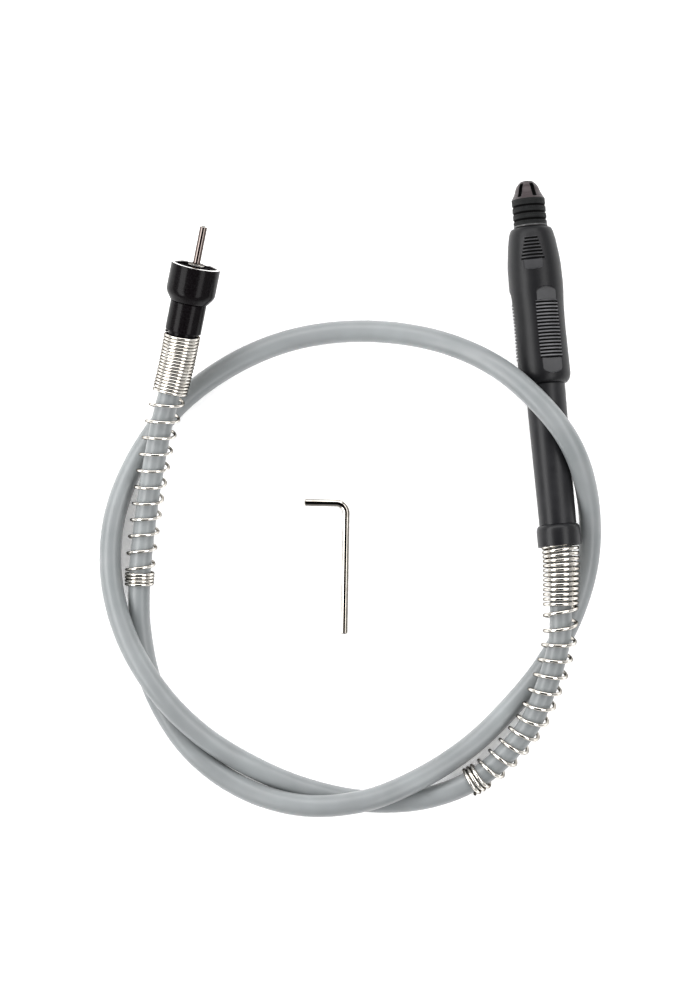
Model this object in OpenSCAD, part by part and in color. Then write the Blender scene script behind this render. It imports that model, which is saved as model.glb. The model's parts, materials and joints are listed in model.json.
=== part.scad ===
// Rotary tool handpiece on a flexible drive shaft, with its hex key.
// Units are millimetres, +Z is up, and the set lies on the plane z = 0.
// The handpiece frame has +Z towards the chuck and starts at the rear face of its collar.
// The drive end frame has +Z towards the drive pin and starts at the rear face of its ferrule.

/* [Handpiece] */
// Length from the rear face of the collar to the nose of the chuck
handpiece_len = 160; // [140:1:195]
// Slope of the handpiece, with the chuck lower than the collar, in degrees
handpiece_dip = 3.5; // [2.5:0.1:5]
// Turn of the handpiece in plan, in degrees
handpiece_lean = 5; // [0:0.1:10]
// Thickness of the case tube round the bearings
tube_wall = 1.1; // [0.9:0.05:1.6]
// Height of the shoulder that the grip's rear end meets
tube_step = 1.1; // [0.6:0.1:2]
// How much thinner the case tube is beside the rear collar than beside the grip
tube_taper = 1.3; // [0:0.1:2]

/* [Grip] */
// Largest diameter of the grip
grip_d = 23.5; // [21:0.1:28.5]
// Thickness of the grip's front edge round the case tube
grip_nose_wall = 1.7; // [1.3:0.1:2.4]
// Length of the grip
grip_len = 68.7; // [60:0.1:80]
// Thickness of the grip's front wall
grip_wall = 2.6; // [2:0.1:4]
// Spacing of the finger ribs
rib_pitch = 1.5; // [1.3:0.05:2]
// Depth of the grooves between the ribs
rib_depth = 0.6; // [0.3:0.05:0.9]
// Width of a rib panel
rib_panel_w = 10.3; // [8:0.1:14]

/* [Chuck] */
// Diameter of the knurled part of the chuck
chuck_d = 14.7; // [12.2:0.05:17.8]
// Length of the knurled part
chuck_knurl_len = 12.2; // [12.2:0.1:15]
// Length of the tapered nose
chuck_cone_len = 8.1; // [8.1:0.1:10]
// Diameter of the flat face at the nose
chuck_nose_d = 5.5; // [5:0.1:7]
// Smallest shank that the jaws close on
shank_min_d = 1.2; // [1:0.1:1.6]
// Largest shank that the jaws open to
shank_max_d = 3.2; // [2.8:0.1:3.4]
// Half angle of the taper that closes the jaws, in degrees
jaw_angle = 20; // [18:1:22]
// Thread pitch of the chuck on the spindle
chuck_pitch = 0.75; // [0.5:0.05:1]

/* [Bearings and spindle] */
// Outer diameter of the ball bearings
bearing_od = 13; // [12.5:0.1:15.8]
// Bore of the ball bearings
bearing_id = 6; // [5:0.1:6.5]
// Width of the ball bearings
bearing_w = 5; // [4:0.1:6]
// Diameter of the balls
ball_d = 2; // [1.6:0.1:2.2]
// Balls in each bearing
ball_count = 8; // [6:1:9]
// Diameter of the threaded end of the spindle
spindle_d = 8; // [7:0.1:8.4]
// Square drive of the core's front tip, across flats
core_square = 3.2; // [2.6:0.1:3.6]

/* [Rear collar] */
// Thickness of the rear collar beyond the spring and the case tube
collar_wall = 1.35; // [1.1:0.05:3]
// Length of the rear collar
collar_len = 9.3; // [8.6:0.1:13]
// Diameter of the set screws
set_screw_d = 3; // [2.5:0.1:3.5]

/* [Hose] */
// Outer diameter of the hose
hose_d = 9.6; // [8.4:0.1:11.6]
// Diameter of the flexible core
core_d = 4; // [3:0.1:4.8]
// Room for the core in the wound steel liner, both sides together
core_slack = 1; // [0.8:0.1:1.4]
// Thickness of the wound steel liner
liner_wall = 0.6; // [0.4:0.05:0.8]

/* [Strain reliefs] */
// Wire of the handpiece spring
front_wire_d = 1.6; // [1.2:0.05:1.7]
// Room for the hose in the free end of the handpiece spring, both sides together
front_spring_slack = 0.5; // [0.4:0.1:2]
// How much wider the handpiece spring is in the collar than at its free end
front_spring_flare = 3; // [2:0.1:3.4]
// Wire of the drive end spring
drive_wire_d = 1.3; // [1.1:0.05:1.35]
// Room for the hose in the free end of the drive end spring, both sides together
drive_spring_slack = 0.7; // [0.5:0.1:2]
// How much wider the drive end spring is beside its ferrule than at its free end
drive_spring_flare = 3.1; // [2.6:0.1:4]

/* [Drive end] */
// Slope of the drive end, with the pin higher than the ferrule, in degrees
drive_rise = 12; // [8:0.5:14]
// Turn of the drive end in plan, in degrees
drive_lean = 12; // [5:0.5:20]
// Length of the ferrule behind the nut
ferrule_len = 13; // [12:0.1:18]
// Wall of the coupling nut
nut_wall = 2.05; // [1.6:0.05:3]
// Length of the nut's cylindrical part
nut_cyl_len = 12.6; // [11:0.1:15]
// Length of the nut's tapered back
nut_cone_len = 3.7; // [3.6:0.1:8]
// Width of the nut's floor round the ferrule's neck
nut_seat_w = 2.7; // [2.3:0.1:4]
// Diameter of the drive pin
pin_d = 3.2; // [2.8:0.1:3.8]
// Length of the drive pin beyond its flange
pin_len = 17; // [14:0.5:22]
// Diameter of the drive pin's flange
flange_d = 7.2; // [6:0.1:8]

/* [Hex key] */
// Size across the flats of the hex key
key_af = 3; // [2:0.5:4]
// Length of the key's long arm, from the axis of the short one
key_long = 57.4; // [48:0.1:70]
// Length of the key's short arm, from the axis of the long one
key_short = 18.4; // [14:0.1:24]

/* [Hidden] */
$fn = 64;

// Clearances
run = 0.05;          // shaft that turns in a bore
slip = 0.1;          // pieces that slide on or into each other
gap = 0.3;           // faces of pieces that move past each other
eps = 0.01;

// Places of the two rigid ends and of the key on the table
handpiece_xy = [81.3, -60];
drive_at = [-81.8, 32.6, 25.2];
key_xy = [-11.3, -41.4];
key_turn = -1;

// Liner, sheath and springs, from the core and the hose outwards
liner_bore = core_d + core_slack;
liner_d = liner_bore + 2 * liner_wall;
sheath_bore = liner_d + 2 * gap;
front_spring_end_d = hose_d + 2 * front_wire_d + front_spring_slack;
front_spring_d = front_spring_end_d + front_spring_flare;
drive_spring_end_d = hose_d + 2 * drive_wire_d + drive_spring_slack;
drive_spring_d = drive_spring_end_d + drive_spring_flare;

// Diameters of the case, from the bearings and the hose outwards
hose_ferrule_d = hose_d + 3.2;
tube_seat_d = max(bearing_od + 2 * tube_wall, hose_ferrule_d + 2.4);
tube_front_d = tube_seat_d + 2 * tube_step;
tube_rear_d = tube_front_d - tube_taper;
grip_nose_d = tube_seat_d + 2 * grip_nose_wall;
collar_d = max(front_spring_d, tube_rear_d + 2 * slip) + 2 * collar_wall;

// Places along the handpiece
chuck_back_z = handpiece_len - chuck_cone_len - chuck_knurl_len;
grip_front_z = chuck_back_z - gap;
grip_back_z = grip_front_z - grip_len;

// Grip outline: each entry is [distance behind the front edge, radius]
function grip_r(share) = (grip_nose_d + (grip_d - grip_nose_d) * share) / 2;
grip_back_r = grip_d / 2 - 0.2;
grip_outline = [
    [0, grip_r(-0.65)], [0.35, grip_r(-0.33)], [1.1, grip_r(-0.08)], [2.3, grip_r(0.12)],
    [4.4, grip_r(0.33)], [8.7, grip_r(0.61)], [13, grip_r(0.82)],
    [16.5, grip_r(0.96)], [20, grip_r(1)], [28, grip_r(1)], [31, grip_back_r], [grip_len - 5, grip_back_r]
];
function grip_at(behind) = lookup(behind, grip_outline);

// The collar's height at which the grip just touches the table
collar_z = max([for (p = grip_outline)
    p[1] * cos(handpiece_dip) + (grip_front_z - p[0]) * sin(handpiece_dip)]);
tube_start_z = 5.2;
tube_bore_d = 10.5;
tube_end_z = grip_front_z - grip_wall - gap;
ferrule_seat_z = 22;

// Places along the spindle
front_bearing_z = tube_end_z - 12 - bearing_w;
rear_bearing_z = grip_back_z + 4;
spindle_back_z = ferrule_seat_z + 6;
tip_back_z = ferrule_seat_z + 2;
tip_seat_z = spindle_back_z + 14;
socket_d = bearing_id + 2;

// The jaws and the taper that they lie in
jaw_open = (shank_max_d - shank_min_d) / 2;
chuck_travel = jaw_open / tan(jaw_angle);
nose_bore_r = chuck_nose_d / 2 - 0.7;
chamber_r = chuck_d / 2 - 1.35;
taper_z = handpiece_len - (chamber_r - nose_bore_r) / tan(jaw_angle);
spindle_front_z = taper_z - 1.15;
jaw_back_z = spindle_front_z + 1.6;
jaw_front_z = handpiece_len - 0.6;
jaw_grip_len = 6;
jaw_back_r = chamber_r - jaw_open - 0.15;
chamber_back_z = jaw_back_z - chuck_travel - 0.15;

// Places along the drive end
nut_back_z = ferrule_len + 0.2;
nut_mouth_z = nut_back_z + nut_cone_len + nut_cyl_len;
nut_floor_z = nut_back_z + 2.8;
ring_z = nut_floor_z + gap;
ring_w = 1.2;
ferrule_front_z = ring_z + ring_w + 1.2;
ferrule_d = drive_spring_d - 2 * slip;
spigot_d = drive_spring_d - 2 * drive_wire_d - 0.8;
spigot_len = 5;
socket_r = 2.6;
bush_d = 2 * socket_r + 3.8;
bush_back_z = 4;
neck_d = bush_d + 3;
nut_bore = neck_d + 2 * nut_seat_w;
nut_d = nut_bore + 2 * nut_wall;
socket_front_z = ferrule_front_z + 1;
drive_square = 2.2;

function frame_turn(lean, rise) = [-(90 - rise), 0, lean];
function axis_of(lean, rise) = [-sin(lean) * cos(rise), cos(lean) * cos(rise), sin(rise)];
handpiece_axis = axis_of(handpiece_lean, -handpiece_dip);
drive_axis = axis_of(-drive_lean, drive_rise);
handpiece_at = [handpiece_xy.x, handpiece_xy.y, collar_z];

module in_handpiece() {
    translate(handpiece_at) rotate(frame_turn(handpiece_lean, -handpiece_dip)) children();
}

module in_drive_end() {
    translate(drive_at) rotate(frame_turn(-drive_lean, drive_rise)) children();
}

module disc(r, z0, z1) {
    translate([0, 0, z0]) cylinder(r = r, h = z1 - z0);
}

// ---- The hose's route ----

// Points that the middle of the hose passes through, from the handpiece to the drive end
rest_z = hose_d / 2;
route_free = [
    [81.6, -86, 19.6], [81, -102, 18.3], [75.5, -121.5, 16.2], [66.5, -141, 12],
    [47.5, -160.5, 7.6], [24, -170.5, 5.2], [-3, -172, 4.8], [-29.5, -166.5, 4.8],
    [-53, -156.5, 5.8], [-74.5, -142.5, 11.2], [-92.5, -124, 14.8], [-106.5, -101, 13.6],
    [-114, -75, 8.2], [-113, -48, 5.3], [-103, -22, 4.8], [-86, 1, 4.8],
    [-62, 19, 4.8], [-34, 30.5, 4.9], [-3, 34, 5.9], [28, 29.5, 12],
    [54, 17.5, 22.8], [74.5, -1, 29.4], [87.5, -20, 26.4], [94, -42, 16.3],
    [94.5, -66, 7.8], [88, -90, 5.2], [76, -112, 4.8], [60, -131.5, 4.9],
    [42, -148.5, 5.9], [20, -162, 10.8], [-4, -171, 14.9], [-31, -173, 12.8],
    [-57.5, -165.5, 7], [-80, -148.5, 5.1], [-95.5, -123.5, 4.8], [-101.5, -98, 5.2],
    [-101.8, -74, 7.4], [-99, -48, 9.7], [-95.5, -27, 14.3], [-91.2, -6, 18]
];
hose_in = 7;
route = concat(
    [handpiece_at + hose_in * handpiece_axis, handpiece_at - 6 * handpiece_axis],
    route_free,
    [drive_at - 16 * drive_axis, drive_at + 2 * drive_axis]
);

// A smooth curve through the points: each stretch is a cubic whose slopes come from its neighbours
route_n = len(route);
function knot(i) = i < 0 ? 2 * route[0] - route[1]
    : i >= route_n ? 2 * route[route_n - 1] - route[route_n - 2]
    : route[i];
function blend_at(a, b, c, d, t) = 0.5 * (2 * b + (c - a) * t
    + (2 * a - 5 * b + 4 * c - d) * t * t + (3 * b - a - 3 * c + d) * t * t * t);
function on_route(u) = let (i = min(floor(u), route_n - 2),
    p = blend_at(knot(i - 1), knot(i), knot(i + 1), knot(i + 2), u - i))
    [p.x, p.y, max(p.z, rest_z)];

fine_steps = 8;
fine = [for (k = [0 : (route_n - 1) * fine_steps]) on_route(k / fine_steps)];
fine_n = len(fine);
fine_s = [for (k = 0, s = 0; k < fine_n; s = s + (k + 1 < fine_n ? norm(fine[k + 1] - fine[k]) : 0), k = k + 1) s];
hose_len = fine_s[fine_n - 1];
tables = [for (axis = [0 : 2]) [for (k = [0 : fine_n - 1]) [fine_s[k], fine[k][axis]]]];
function at_length(s) = [for (axis = [0 : 2]) lookup(s, tables[axis])];

function unit(v) = v / norm(v);
function side_of(t) = unit(cross([0, 0, 1], t));
function ring_at(p, t, r, sides) = let (n = side_of(t), b = cross(t, n))
    [for (k = [0 : sides - 1]) let (a = 360 * (k + 0.5) / sides) p + r * (cos(a) * n + sin(a) * b)];

// Closed skin over rings of equal size
module skin(rings) {
    n = len(rings);
    m = len(rings[0]);
    points = [for (ring = rings) each ring];
    sides = [for (i = [0 : n - 2], k = [0 : m - 1])
        let (a = i * m + k, b = i * m + (k + 1) % m, c = b + m, d = a + m)
        each [[a, d, c], [a, c, b]]];
    ends = [[for (k = [0 : m - 1]) k], [for (k = [m - 1 : -1 : 0]) (n - 1) * m + k]];
    polyhedron(points, concat(sides, ends));
}

// Closed skin of a pipe: the same number of points in each outer and inner ring
module pipe_skin(outer, inner) {
    n = len(outer);
    m = len(outer[0]);
    points = [for (ring = outer) each ring, for (ring = inner) each ring];
    walls = [for (i = [0 : n - 2], k = [0 : m - 1])
        let (a = i * m + k, b = i * m + (k + 1) % m, c = b + m, d = a + m, in = n * m)
        each [[a, d, c], [a, c, b], [a + in, c + in, d + in], [a + in, b + in, c + in]]];
    mouths = [for (k = [0 : m - 1])
        let (a = k, b = (k + 1) % m, in = n * m, last = (n - 1) * m)
        each [[a, b, b + in], [a, b + in, a + in],
              [last + a, last + b + in, last + b], [last + a, last + a + in, last + b + in]]];
    polyhedron(points, concat(walls, mouths));
}

// Evenly spaced rings along the route between two lengths
hose_rings = 78;
function hose_ring(d, s0, s1, sides) = [for (k = [0 : hose_rings]) let (s = s0 + (s1 - s0) * k / hose_rings)
    ring_at(at_length(s), unit(at_length(s + 1) - at_length(s - 1)), d / 2, sides)];

module hose_sheath() {
    color("#8d9295")
        pipe_skin(hose_ring(hose_d, 0, hose_len, 12), hose_ring(sheath_bore, 0, hose_len, 12));
}

module hose_liner() {
    inset = 0.3;
    color("#9a9ea0")
        pipe_skin(hose_ring(liner_d, inset, hose_len - inset, 8), hose_ring(liner_bore, inset, hose_len - inset, 8));
}

module flex_core() {
    inset = 1;
    color("#6f7376") skin(hose_ring(core_d, inset, hose_len - inset, 8));
}

// ---- The strain relief springs ----

wire_sides = 6;
steps_per_turn = 9;

// Distance from the start after a number of turns: close coils, open coils, close coils
function spring_s(turn, closed, close_pitch, open, open_pitch) =
    close_pitch * min(turn, closed)
    + open_pitch * max(0, min(turn - closed, open))
    + close_pitch * max(0, turn - closed - open);

// Spring wound round the hose from length s0, onward (way 1) or backward (way -1)
module wound_spring(s0, way, wire, d0, d1, closed, close_pitch, open, open_pitch, ending) {
    turns = closed + open + ending;
    steps = turns * steps_per_turn;
    total = spring_s(turns, closed, close_pitch, open, open_pitch);
    centres = [for (k = [0 : steps])
        let (turn = k / steps_per_turn,
             s = spring_s(turn, closed, close_pitch, open, open_pitch),
             p = at_length(s0 + way * s),
             t = unit(at_length(s0 + way * s + 1) - at_length(s0 + way * s - 1)),
             n = side_of(t),
             b = cross(t, n),
             r = (d0 + (d1 - d0) * s / total - wire) / 2,
             a = way * 360 * turn)
        [p + r * (cos(a) * n + sin(a) * b), cos(a) * n + sin(a) * b]];
    skin([for (k = [0 : steps])
        let (a = centres[max(k - 1, 0)][0],
             b = centres[min(k + 1, steps)][0],
             out = centres[k][1],
             up = unit(cross(unit(b - a), out)))
        [for (j = [0 : wire_sides - 1]) let (w = 360 * (j + 0.5) / wire_sides)
            centres[k][0] + wire / 2 * (cos(w) * out + sin(w) * up)]]);
}

front_spring_in = 3;
module handpiece_spring() {
    color("#c9cbcd") wound_spring(hose_in - front_spring_in, 1, front_wire_d,
        front_spring_d, front_spring_end_d, 14, front_wire_d + 0.5, 12, 7.15, 3);
}

drive_spring_gap = 0.9;
module drive_spring() {
    color("#c9cbcd") wound_spring(hose_len - 2 - drive_spring_gap, -1, drive_wire_d,
        drive_spring_d, drive_spring_end_d, 18, drive_wire_d + 0.15, 11, 7.3, 4);
}

// ---- Handpiece ----

// Tapered bore of the chuck's nose
function taper_r(z) = nose_bore_r + (handpiece_len - z) * tan(jaw_angle);

band_count = 4;
band_groove_w = 0.8;
band_groove = 0.35;
function band_profile() = let (step = chuck_knurl_len / band_count, r = chuck_d / 2)
    [for (i = [1 : band_count - 1]) each let (z = chuck_back_z + i * step)
        [[r, z - band_groove_w / 2], [r - band_groove, z - band_groove_w / 4],
         [r - band_groove, z + band_groove_w / 4], [r, z + band_groove_w / 2]]];

// Slots milled along the cone, deeper at its wide end than beside the nose
slot_count = 6;
slot_w = 1.7;
slot_back = 0.75;
slot_front = 0.4;
module nose_slots() {
    cone_angle = atan((chuck_d - chuck_nose_d) / 2 / chuck_cone_len);
    slot_len = chuck_cone_len / cos(cone_angle) - 2;
    for (i = [0 : slot_count - 1]) rotate([0, 0, i * 360 / slot_count + 30 - 90])
        translate([chuck_d / 2, 0, handpiece_len - chuck_cone_len]) rotate([0, -cone_angle, 0])
            translate([-slot_back, -slot_w / 2, 0.8]) rotate([0, atan((slot_back - slot_front) / slot_len), 0])
                cube([3, slot_w, slot_len]);
}

module chuck_body() {
    r = chuck_d / 2;
    edge = 0.4;
    thread_r = spindle_d / 2 + run;
    cone_z = handpiece_len - chuck_cone_len;
    slope = (chuck_d - chuck_nose_d) / 4;
    in_handpiece() color("#2b2b2d") difference() {
        rotate_extrude() polygon(concat(
            [[thread_r, chuck_back_z], [r - edge, chuck_back_z], [r, chuck_back_z + edge]],
            band_profile(),
            [[r, cone_z], [r - 0.6 * slope, cone_z + chuck_cone_len * 0.33],
             [chuck_nose_d / 2 + 0.68 * slope, cone_z + chuck_cone_len * 0.8],
             [chuck_nose_d / 2, handpiece_len], [nose_bore_r, handpiece_len],
             [chamber_r, taper_z], [chamber_r, chamber_back_z], [thread_r, chamber_back_z]]
        ));
        nose_slots();
    }
}

// One of three jaws: a sector of the cone, with a round grip at its tip
module jaw(index) {
    jaw_gap = 0.12;
    cone_r = taper_r(jaw_front_z) - slip;
    meet_z = handpiece_len - (jaw_back_r + slip - nose_bore_r) / tan(jaw_angle);
    in_handpiece() rotate([0, 0, index * 120 - 90]) color("#a7a9ab") difference() {
        intersection() {
            rotate_extrude() polygon([[0, jaw_back_z], [jaw_back_r, jaw_back_z],
                [jaw_back_r, meet_z], [cone_r, jaw_front_z], [0, jaw_front_z]]);
            translate([jaw_gap / sin(60), 0, jaw_back_z - 1])
                linear_extrude(jaw_front_z - jaw_back_z + 2)
                    polygon([[0, 0], [5, -5 * tan(60)], [9, 0], [5, 5 * tan(60)]]);
        }
        disc(shank_min_d / 2, jaw_back_z - 1, jaw_front_z + 1);
        disc(shank_max_d / 2 + 0.15, jaw_back_z - 1, jaw_front_z - jaw_grip_len);
    }
}

module jaw_1() { jaw(0); }
module jaw_2() { jaw(1); }
module jaw_3() { jaw(2); }

module jaw_plate() {
    in_handpiece() color("#b4b6b8") difference() {
        disc(spindle_d / 2 - 0.1, spindle_front_z + slip, jaw_back_z - slip);
        disc(shank_max_d / 2 + slip, spindle_front_z - 1, jaw_back_z + 1);
    }
}

module spindle() {
    shank_depth = 12;
    in_handpiece() color("#9fa2a4") difference() {
        union() {
            disc(bearing_id / 2 - 0.02, rear_bearing_z - 1, front_bearing_z + bearing_w + 1);
            disc(socket_d / 2, spindle_back_z, rear_bearing_z - slip);
            disc(spindle_d / 2, front_bearing_z + bearing_w + slip, spindle_front_z);
        }
        disc(shank_max_d / 2 + slip, spindle_front_z - shank_depth, spindle_front_z + 1);
        translate([-core_square / 2 - slip, -core_square / 2 - slip, spindle_back_z - 1])
            cube([core_square + 2 * slip, core_square + 2 * slip, tip_seat_z - spindle_back_z + 1.5]);
    }
}

module core_tip() {
    in_handpiece() color("#8b8e90") union() {
        disc(core_d / 2, tip_back_z, spindle_back_z - 1);
        translate([-core_square / 2, -core_square / 2, spindle_back_z - 1 - eps])
            cube([core_square, core_square, tip_seat_z - spindle_back_z + 1]);
    }
}

// Ball bearing: rings with a round groove, and a row of balls
groove_r = ball_d / 2 + run;
pitch_r = (bearing_od + bearing_id) / 4;
land = 0.55;

module bearing_outer(z) {
    in_handpiece() color("#b9bbbd") translate([0, 0, z]) difference() {
        disc(bearing_od / 2, 0, bearing_w);
        disc(pitch_r + land, -1, bearing_w + 1);
        translate([0, 0, bearing_w / 2]) rotate_extrude()
            translate([pitch_r, 0]) circle(r = groove_r, $fn = 32);
    }
}

module bearing_inner(z) {
    in_handpiece() color("#b9bbbd") translate([0, 0, z]) difference() {
        disc(pitch_r - land, 0, bearing_w);
        disc(bearing_id / 2, -1, bearing_w + 1);
        translate([0, 0, bearing_w / 2]) rotate_extrude()
            translate([pitch_r, 0]) circle(r = groove_r, $fn = 32);
    }
}

module bearing_balls(z) {
    in_handpiece() color("#c8a24a") translate([0, 0, z + bearing_w / 2]) union() {
        difference() {
            disc(pitch_r + 0.35, -0.7, 0.7);
            disc(pitch_r - 0.35, -2, 2);
        }
        for (i = [0 : ball_count - 1]) rotate([0, 0, i * 360 / ball_count])
            translate([pitch_r, 0, 0]) sphere(d = ball_d, $fn = 24);
    }
}

module front_bearing_outer() { bearing_outer(front_bearing_z); }
module front_bearing_inner() { bearing_inner(front_bearing_z); }
module front_bearing_balls() { bearing_balls(front_bearing_z); }
module rear_bearing_outer() { bearing_outer(rear_bearing_z); }
module rear_bearing_inner() { bearing_inner(rear_bearing_z); }
module rear_bearing_balls() { bearing_balls(rear_bearing_z); }

module bearing_spacer() {
    in_handpiece() color("#a8abad") difference() {
        disc(bearing_od / 2 - slip, rear_bearing_z + bearing_w + eps, front_bearing_z - eps);
        disc(bearing_od / 2 - 0.9, rear_bearing_z, front_bearing_z + 1);
    }
}

ring_groove_w = 1.1;
module retaining_ring() {
    z = front_bearing_z + bearing_w + 0.05;
    in_handpiece() color("#6a6d70") difference() {
        disc(bearing_od / 2 + 0.35, z, z + ring_groove_w - 0.1);
        disc(bearing_od / 2 - 0.9, z - 1, z + 2);
        translate([0, -1.5, z - 1]) cube([bearing_od, 3, 3]);
    }
}

module handpiece_tube() {
    spigot_r = tube_seat_d / 2 - 0.1;
    bearing_r = bearing_od / 2 + 0.02;
    in_handpiece() color("#2c2c2f") difference() {
        rotate_extrude() polygon([
            [tube_bore_d / 2, tube_start_z], [spigot_r, tube_start_z], [spigot_r, collar_len],
            [tube_rear_d / 2, collar_len], [tube_front_d / 2, grip_back_z - slip],
            [tube_seat_d / 2, grip_back_z - slip], [tube_seat_d / 2, tube_end_z],
            [bearing_r, tube_end_z], [bearing_r, rear_bearing_z - slip],
            [tube_bore_d / 2, rear_bearing_z - slip]
        ]);
        disc(hose_ferrule_d / 2 + slip, tube_start_z - 1, ferrule_seat_z + slip);
        disc(bearing_od / 2 + 0.45, front_bearing_z + bearing_w, front_bearing_z + bearing_w + ring_groove_w);
        screw_hole(screw_z);
    }
}

module grip_body() {
    tail = grip_len - 5;
    rotate_extrude() polygon(concat(
        [[spindle_d / 2 + 0.7, grip_front_z]],
        [for (p = grip_outline) [p[1], grip_front_z - p[0]]],
        [for (a = [15 : 15 : 75]) [tube_front_d / 2 + 0.3 + (grip_back_r - tube_front_d / 2 - 0.3) * cos(a),
            grip_front_z - tail - (grip_len - tail) * sin(a)]],
        [[tube_front_d / 2 + 0.1, grip_back_z], [tube_seat_d / 2 + run, grip_back_z],
         [tube_seat_d / 2 + run, tube_end_z + gap], [spindle_d / 2 + 0.7, tube_end_z + gap]]
    ));
}

// A shape whose x runs back from the grip's front, stood up round the grip from a distance off the axis
module on_grip(angle, from, height) {
    rotate([0, 0, angle - 90]) translate([from, 0, grip_front_z]) rotate([0, 90, 0])
        linear_extrude(height) children();
}

// Grooves of a rib panel: rings round the grip, kept to the width of the panel
module rib_panel(angle, front, count, w0, w1) {
    back = front + (count - 0.5) * rib_pitch;
    intersection() {
        for (i = [0 : count - 1]) {
            behind = front + (i + 0.5) * rib_pitch;
            r = grip_at(behind);
            translate([0, 0, grip_front_z - behind]) rotate_extrude() polygon([
                [r + 0.6, -0.6], [r + 0.6, 0.6], [r - rib_depth, 0.22], [r - rib_depth, -0.22]]);
        }
        on_grip(angle, grip_at(front) - 3, 8)
            polygon([[front, -w0 / 2], [front, w0 / 2], [back, w1 / 2], [back, -w1 / 2]]);
    }
}

// Flat milled across the grip, square at its end beside the ribs and arched at the other
module panel_flat(angle, ribs_at, length, arch, depth) {
    arch_at = ribs_at + length;
    r = grip_at(ribs_at + length / 2);
    half = sqrt(r * r - (r - depth) * (r - depth)) + 0.1;
    on_grip(angle, r - depth, depth + 1) polygon(concat(
        [[ribs_at, -half]],
        [for (a = [-90 : 22.5 : 90]) [arch_at - arch + arch * cos(a), half * sin(a)]],
        [[ribs_at, half]]
    ));
}

long_panels = [19, 139, 259];
front_panels = [-5, 115, 235];
module grip_sleeve() {
    in_handpiece() color("#414143") difference() {
        grip_body();
        for (angle = long_panels) {
            rib_panel(angle, 33.1, 17, rib_panel_w, rib_panel_w);
            panel_flat(angle, 33.1, -6, -2, 0.95);
            panel_flat(angle, 33.1 + 16.7 * rib_pitch, 6.7, 3.4, 0.95);
        }
        for (angle = front_panels) {
            rib_panel(angle, 4.8, 7, 5.2, rib_panel_w);
            panel_flat(angle, 4.8 + 6.7 * rib_pitch, 4.4, 0.8, 0.8);
        }
    }
}

module screw_hole(z) {
    translate([0, 0, z]) rotate([-90, 0, 0]) translate([0, 0, 1]) cylinder(d = set_screw_d + slip, h = collar_d);
}

module set_screw(z, r0, r1) {
    translate([0, 0, z]) rotate([-90, 0, 0]) difference() {
        translate([0, 0, r0]) cylinder(d = set_screw_d, h = r1 - r0);
        translate([0, 0, r1 - 1.2]) cylinder(d = set_screw_d * 0.55, h = 2, $fn = 6);
    }
}

screw_z = 7.1;
module collar_screw() {
    in_handpiece() color("#8c8f91")
        set_screw(screw_z, hose_ferrule_d / 2 + slip, collar_d / 2 - 0.3);
}

module rear_collar() {
    r = collar_d / 2;
    round = 1;
    in_handpiece() color("#252528") difference() {
        rotate_extrude() polygon(concat(
            [[front_spring_d / 2 + 0.3, 0]],
            [for (a = [0 : 15 : 90]) [r - round + round * sin(a), round - round * cos(a)]],
            [for (a = [0 : 15 : 90]) [r - round + round * cos(a), collar_len - round + round * sin(a)]],
            [[tube_seat_d / 2, collar_len], [tube_seat_d / 2, tube_start_z - slip],
             [hose_ferrule_d / 2 + slip, tube_start_z - slip],
             [hose_ferrule_d / 2 + slip, 4], [front_spring_d / 2 + 0.3, 4]]
        ));
        screw_hole(screw_z);
    }
}

module hose_ferrule() {
    in_handpiece() color("#8f9294") difference() {
        disc(hose_ferrule_d / 2, 4.1, ferrule_seat_z);
        disc(hose_d / 2 + 0.15, 3, hose_in + 0.5);
        disc(core_d / 2 + 0.6, 3, ferrule_seat_z + 1);
    }
}

// ---- Drive end ----

module coupling_ferrule() {
    r = ferrule_d / 2;
    round = 1.2;
    in_drive_end() color("#18181a") difference() {
        rotate_extrude() polygon(concat(
            [[hose_d / 2 + 0.15, -spigot_len], [spigot_d / 2, -spigot_len], [spigot_d / 2, 0]],
            [for (a = [0 : 15 : 90]) [r - round + round * sin(a), round - round * cos(a)]],
            [[r, ferrule_len], [neck_d / 2, ferrule_len],
             [neck_d / 2, ring_z - 0.05], [neck_d / 2 - 0.4, ring_z - 0.05],
             [neck_d / 2 - 0.4, ring_z + ring_w + 0.05], [neck_d / 2, ring_z + ring_w + 0.05],
             [neck_d / 2, ferrule_front_z], [bush_d / 2 + 0.02, ferrule_front_z],
             [bush_d / 2 + 0.02, bush_back_z], [hose_d / 2 + 0.15, bush_back_z]]
        ));
        screw_hole(drive_screw_z);
    }
}

drive_screw_z = 9;
module ferrule_screw() {
    in_drive_end() color("#8c8f91") set_screw(drive_screw_z, bush_d / 2 + slip, ferrule_d / 2 - 0.3);
}

// Thread of the nut's bore, drawn as rings: grooves cut outwards from the bore
nut_pitch = 1.25;
nut_turns = 7;
function nut_thread() = [for (i = [0 : nut_turns - 1]) each
    let (z = nut_mouth_z - 1.2 - i * nut_pitch, r = nut_bore / 2)
    [[r, z], [r + 0.45, z - 0.4], [r + 0.45, z - 0.6], [r, z - 1]]];

module coupling_nut() {
    r = nut_d / 2;
    back_r = ferrule_d / 2 + 0.25;
    cyl_z = nut_back_z + nut_cone_len;
    edge = 0.4;
    in_drive_end() color("#161618") rotate_extrude() polygon(concat([
        [neck_d / 2 + slip, nut_back_z], [back_r, nut_back_z], [r, cyl_z],
        [r, nut_mouth_z - edge], [r - edge, nut_mouth_z], [nut_bore / 2 + 0.6, nut_mouth_z],
        [nut_bore / 2, nut_mouth_z - 0.6]], nut_thread(), [[nut_bore / 2, cyl_z + 0.6],
        [nut_bore / 2 - 0.7, nut_floor_z], [neck_d / 2 + slip, nut_floor_z]
    ]));
}

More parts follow.
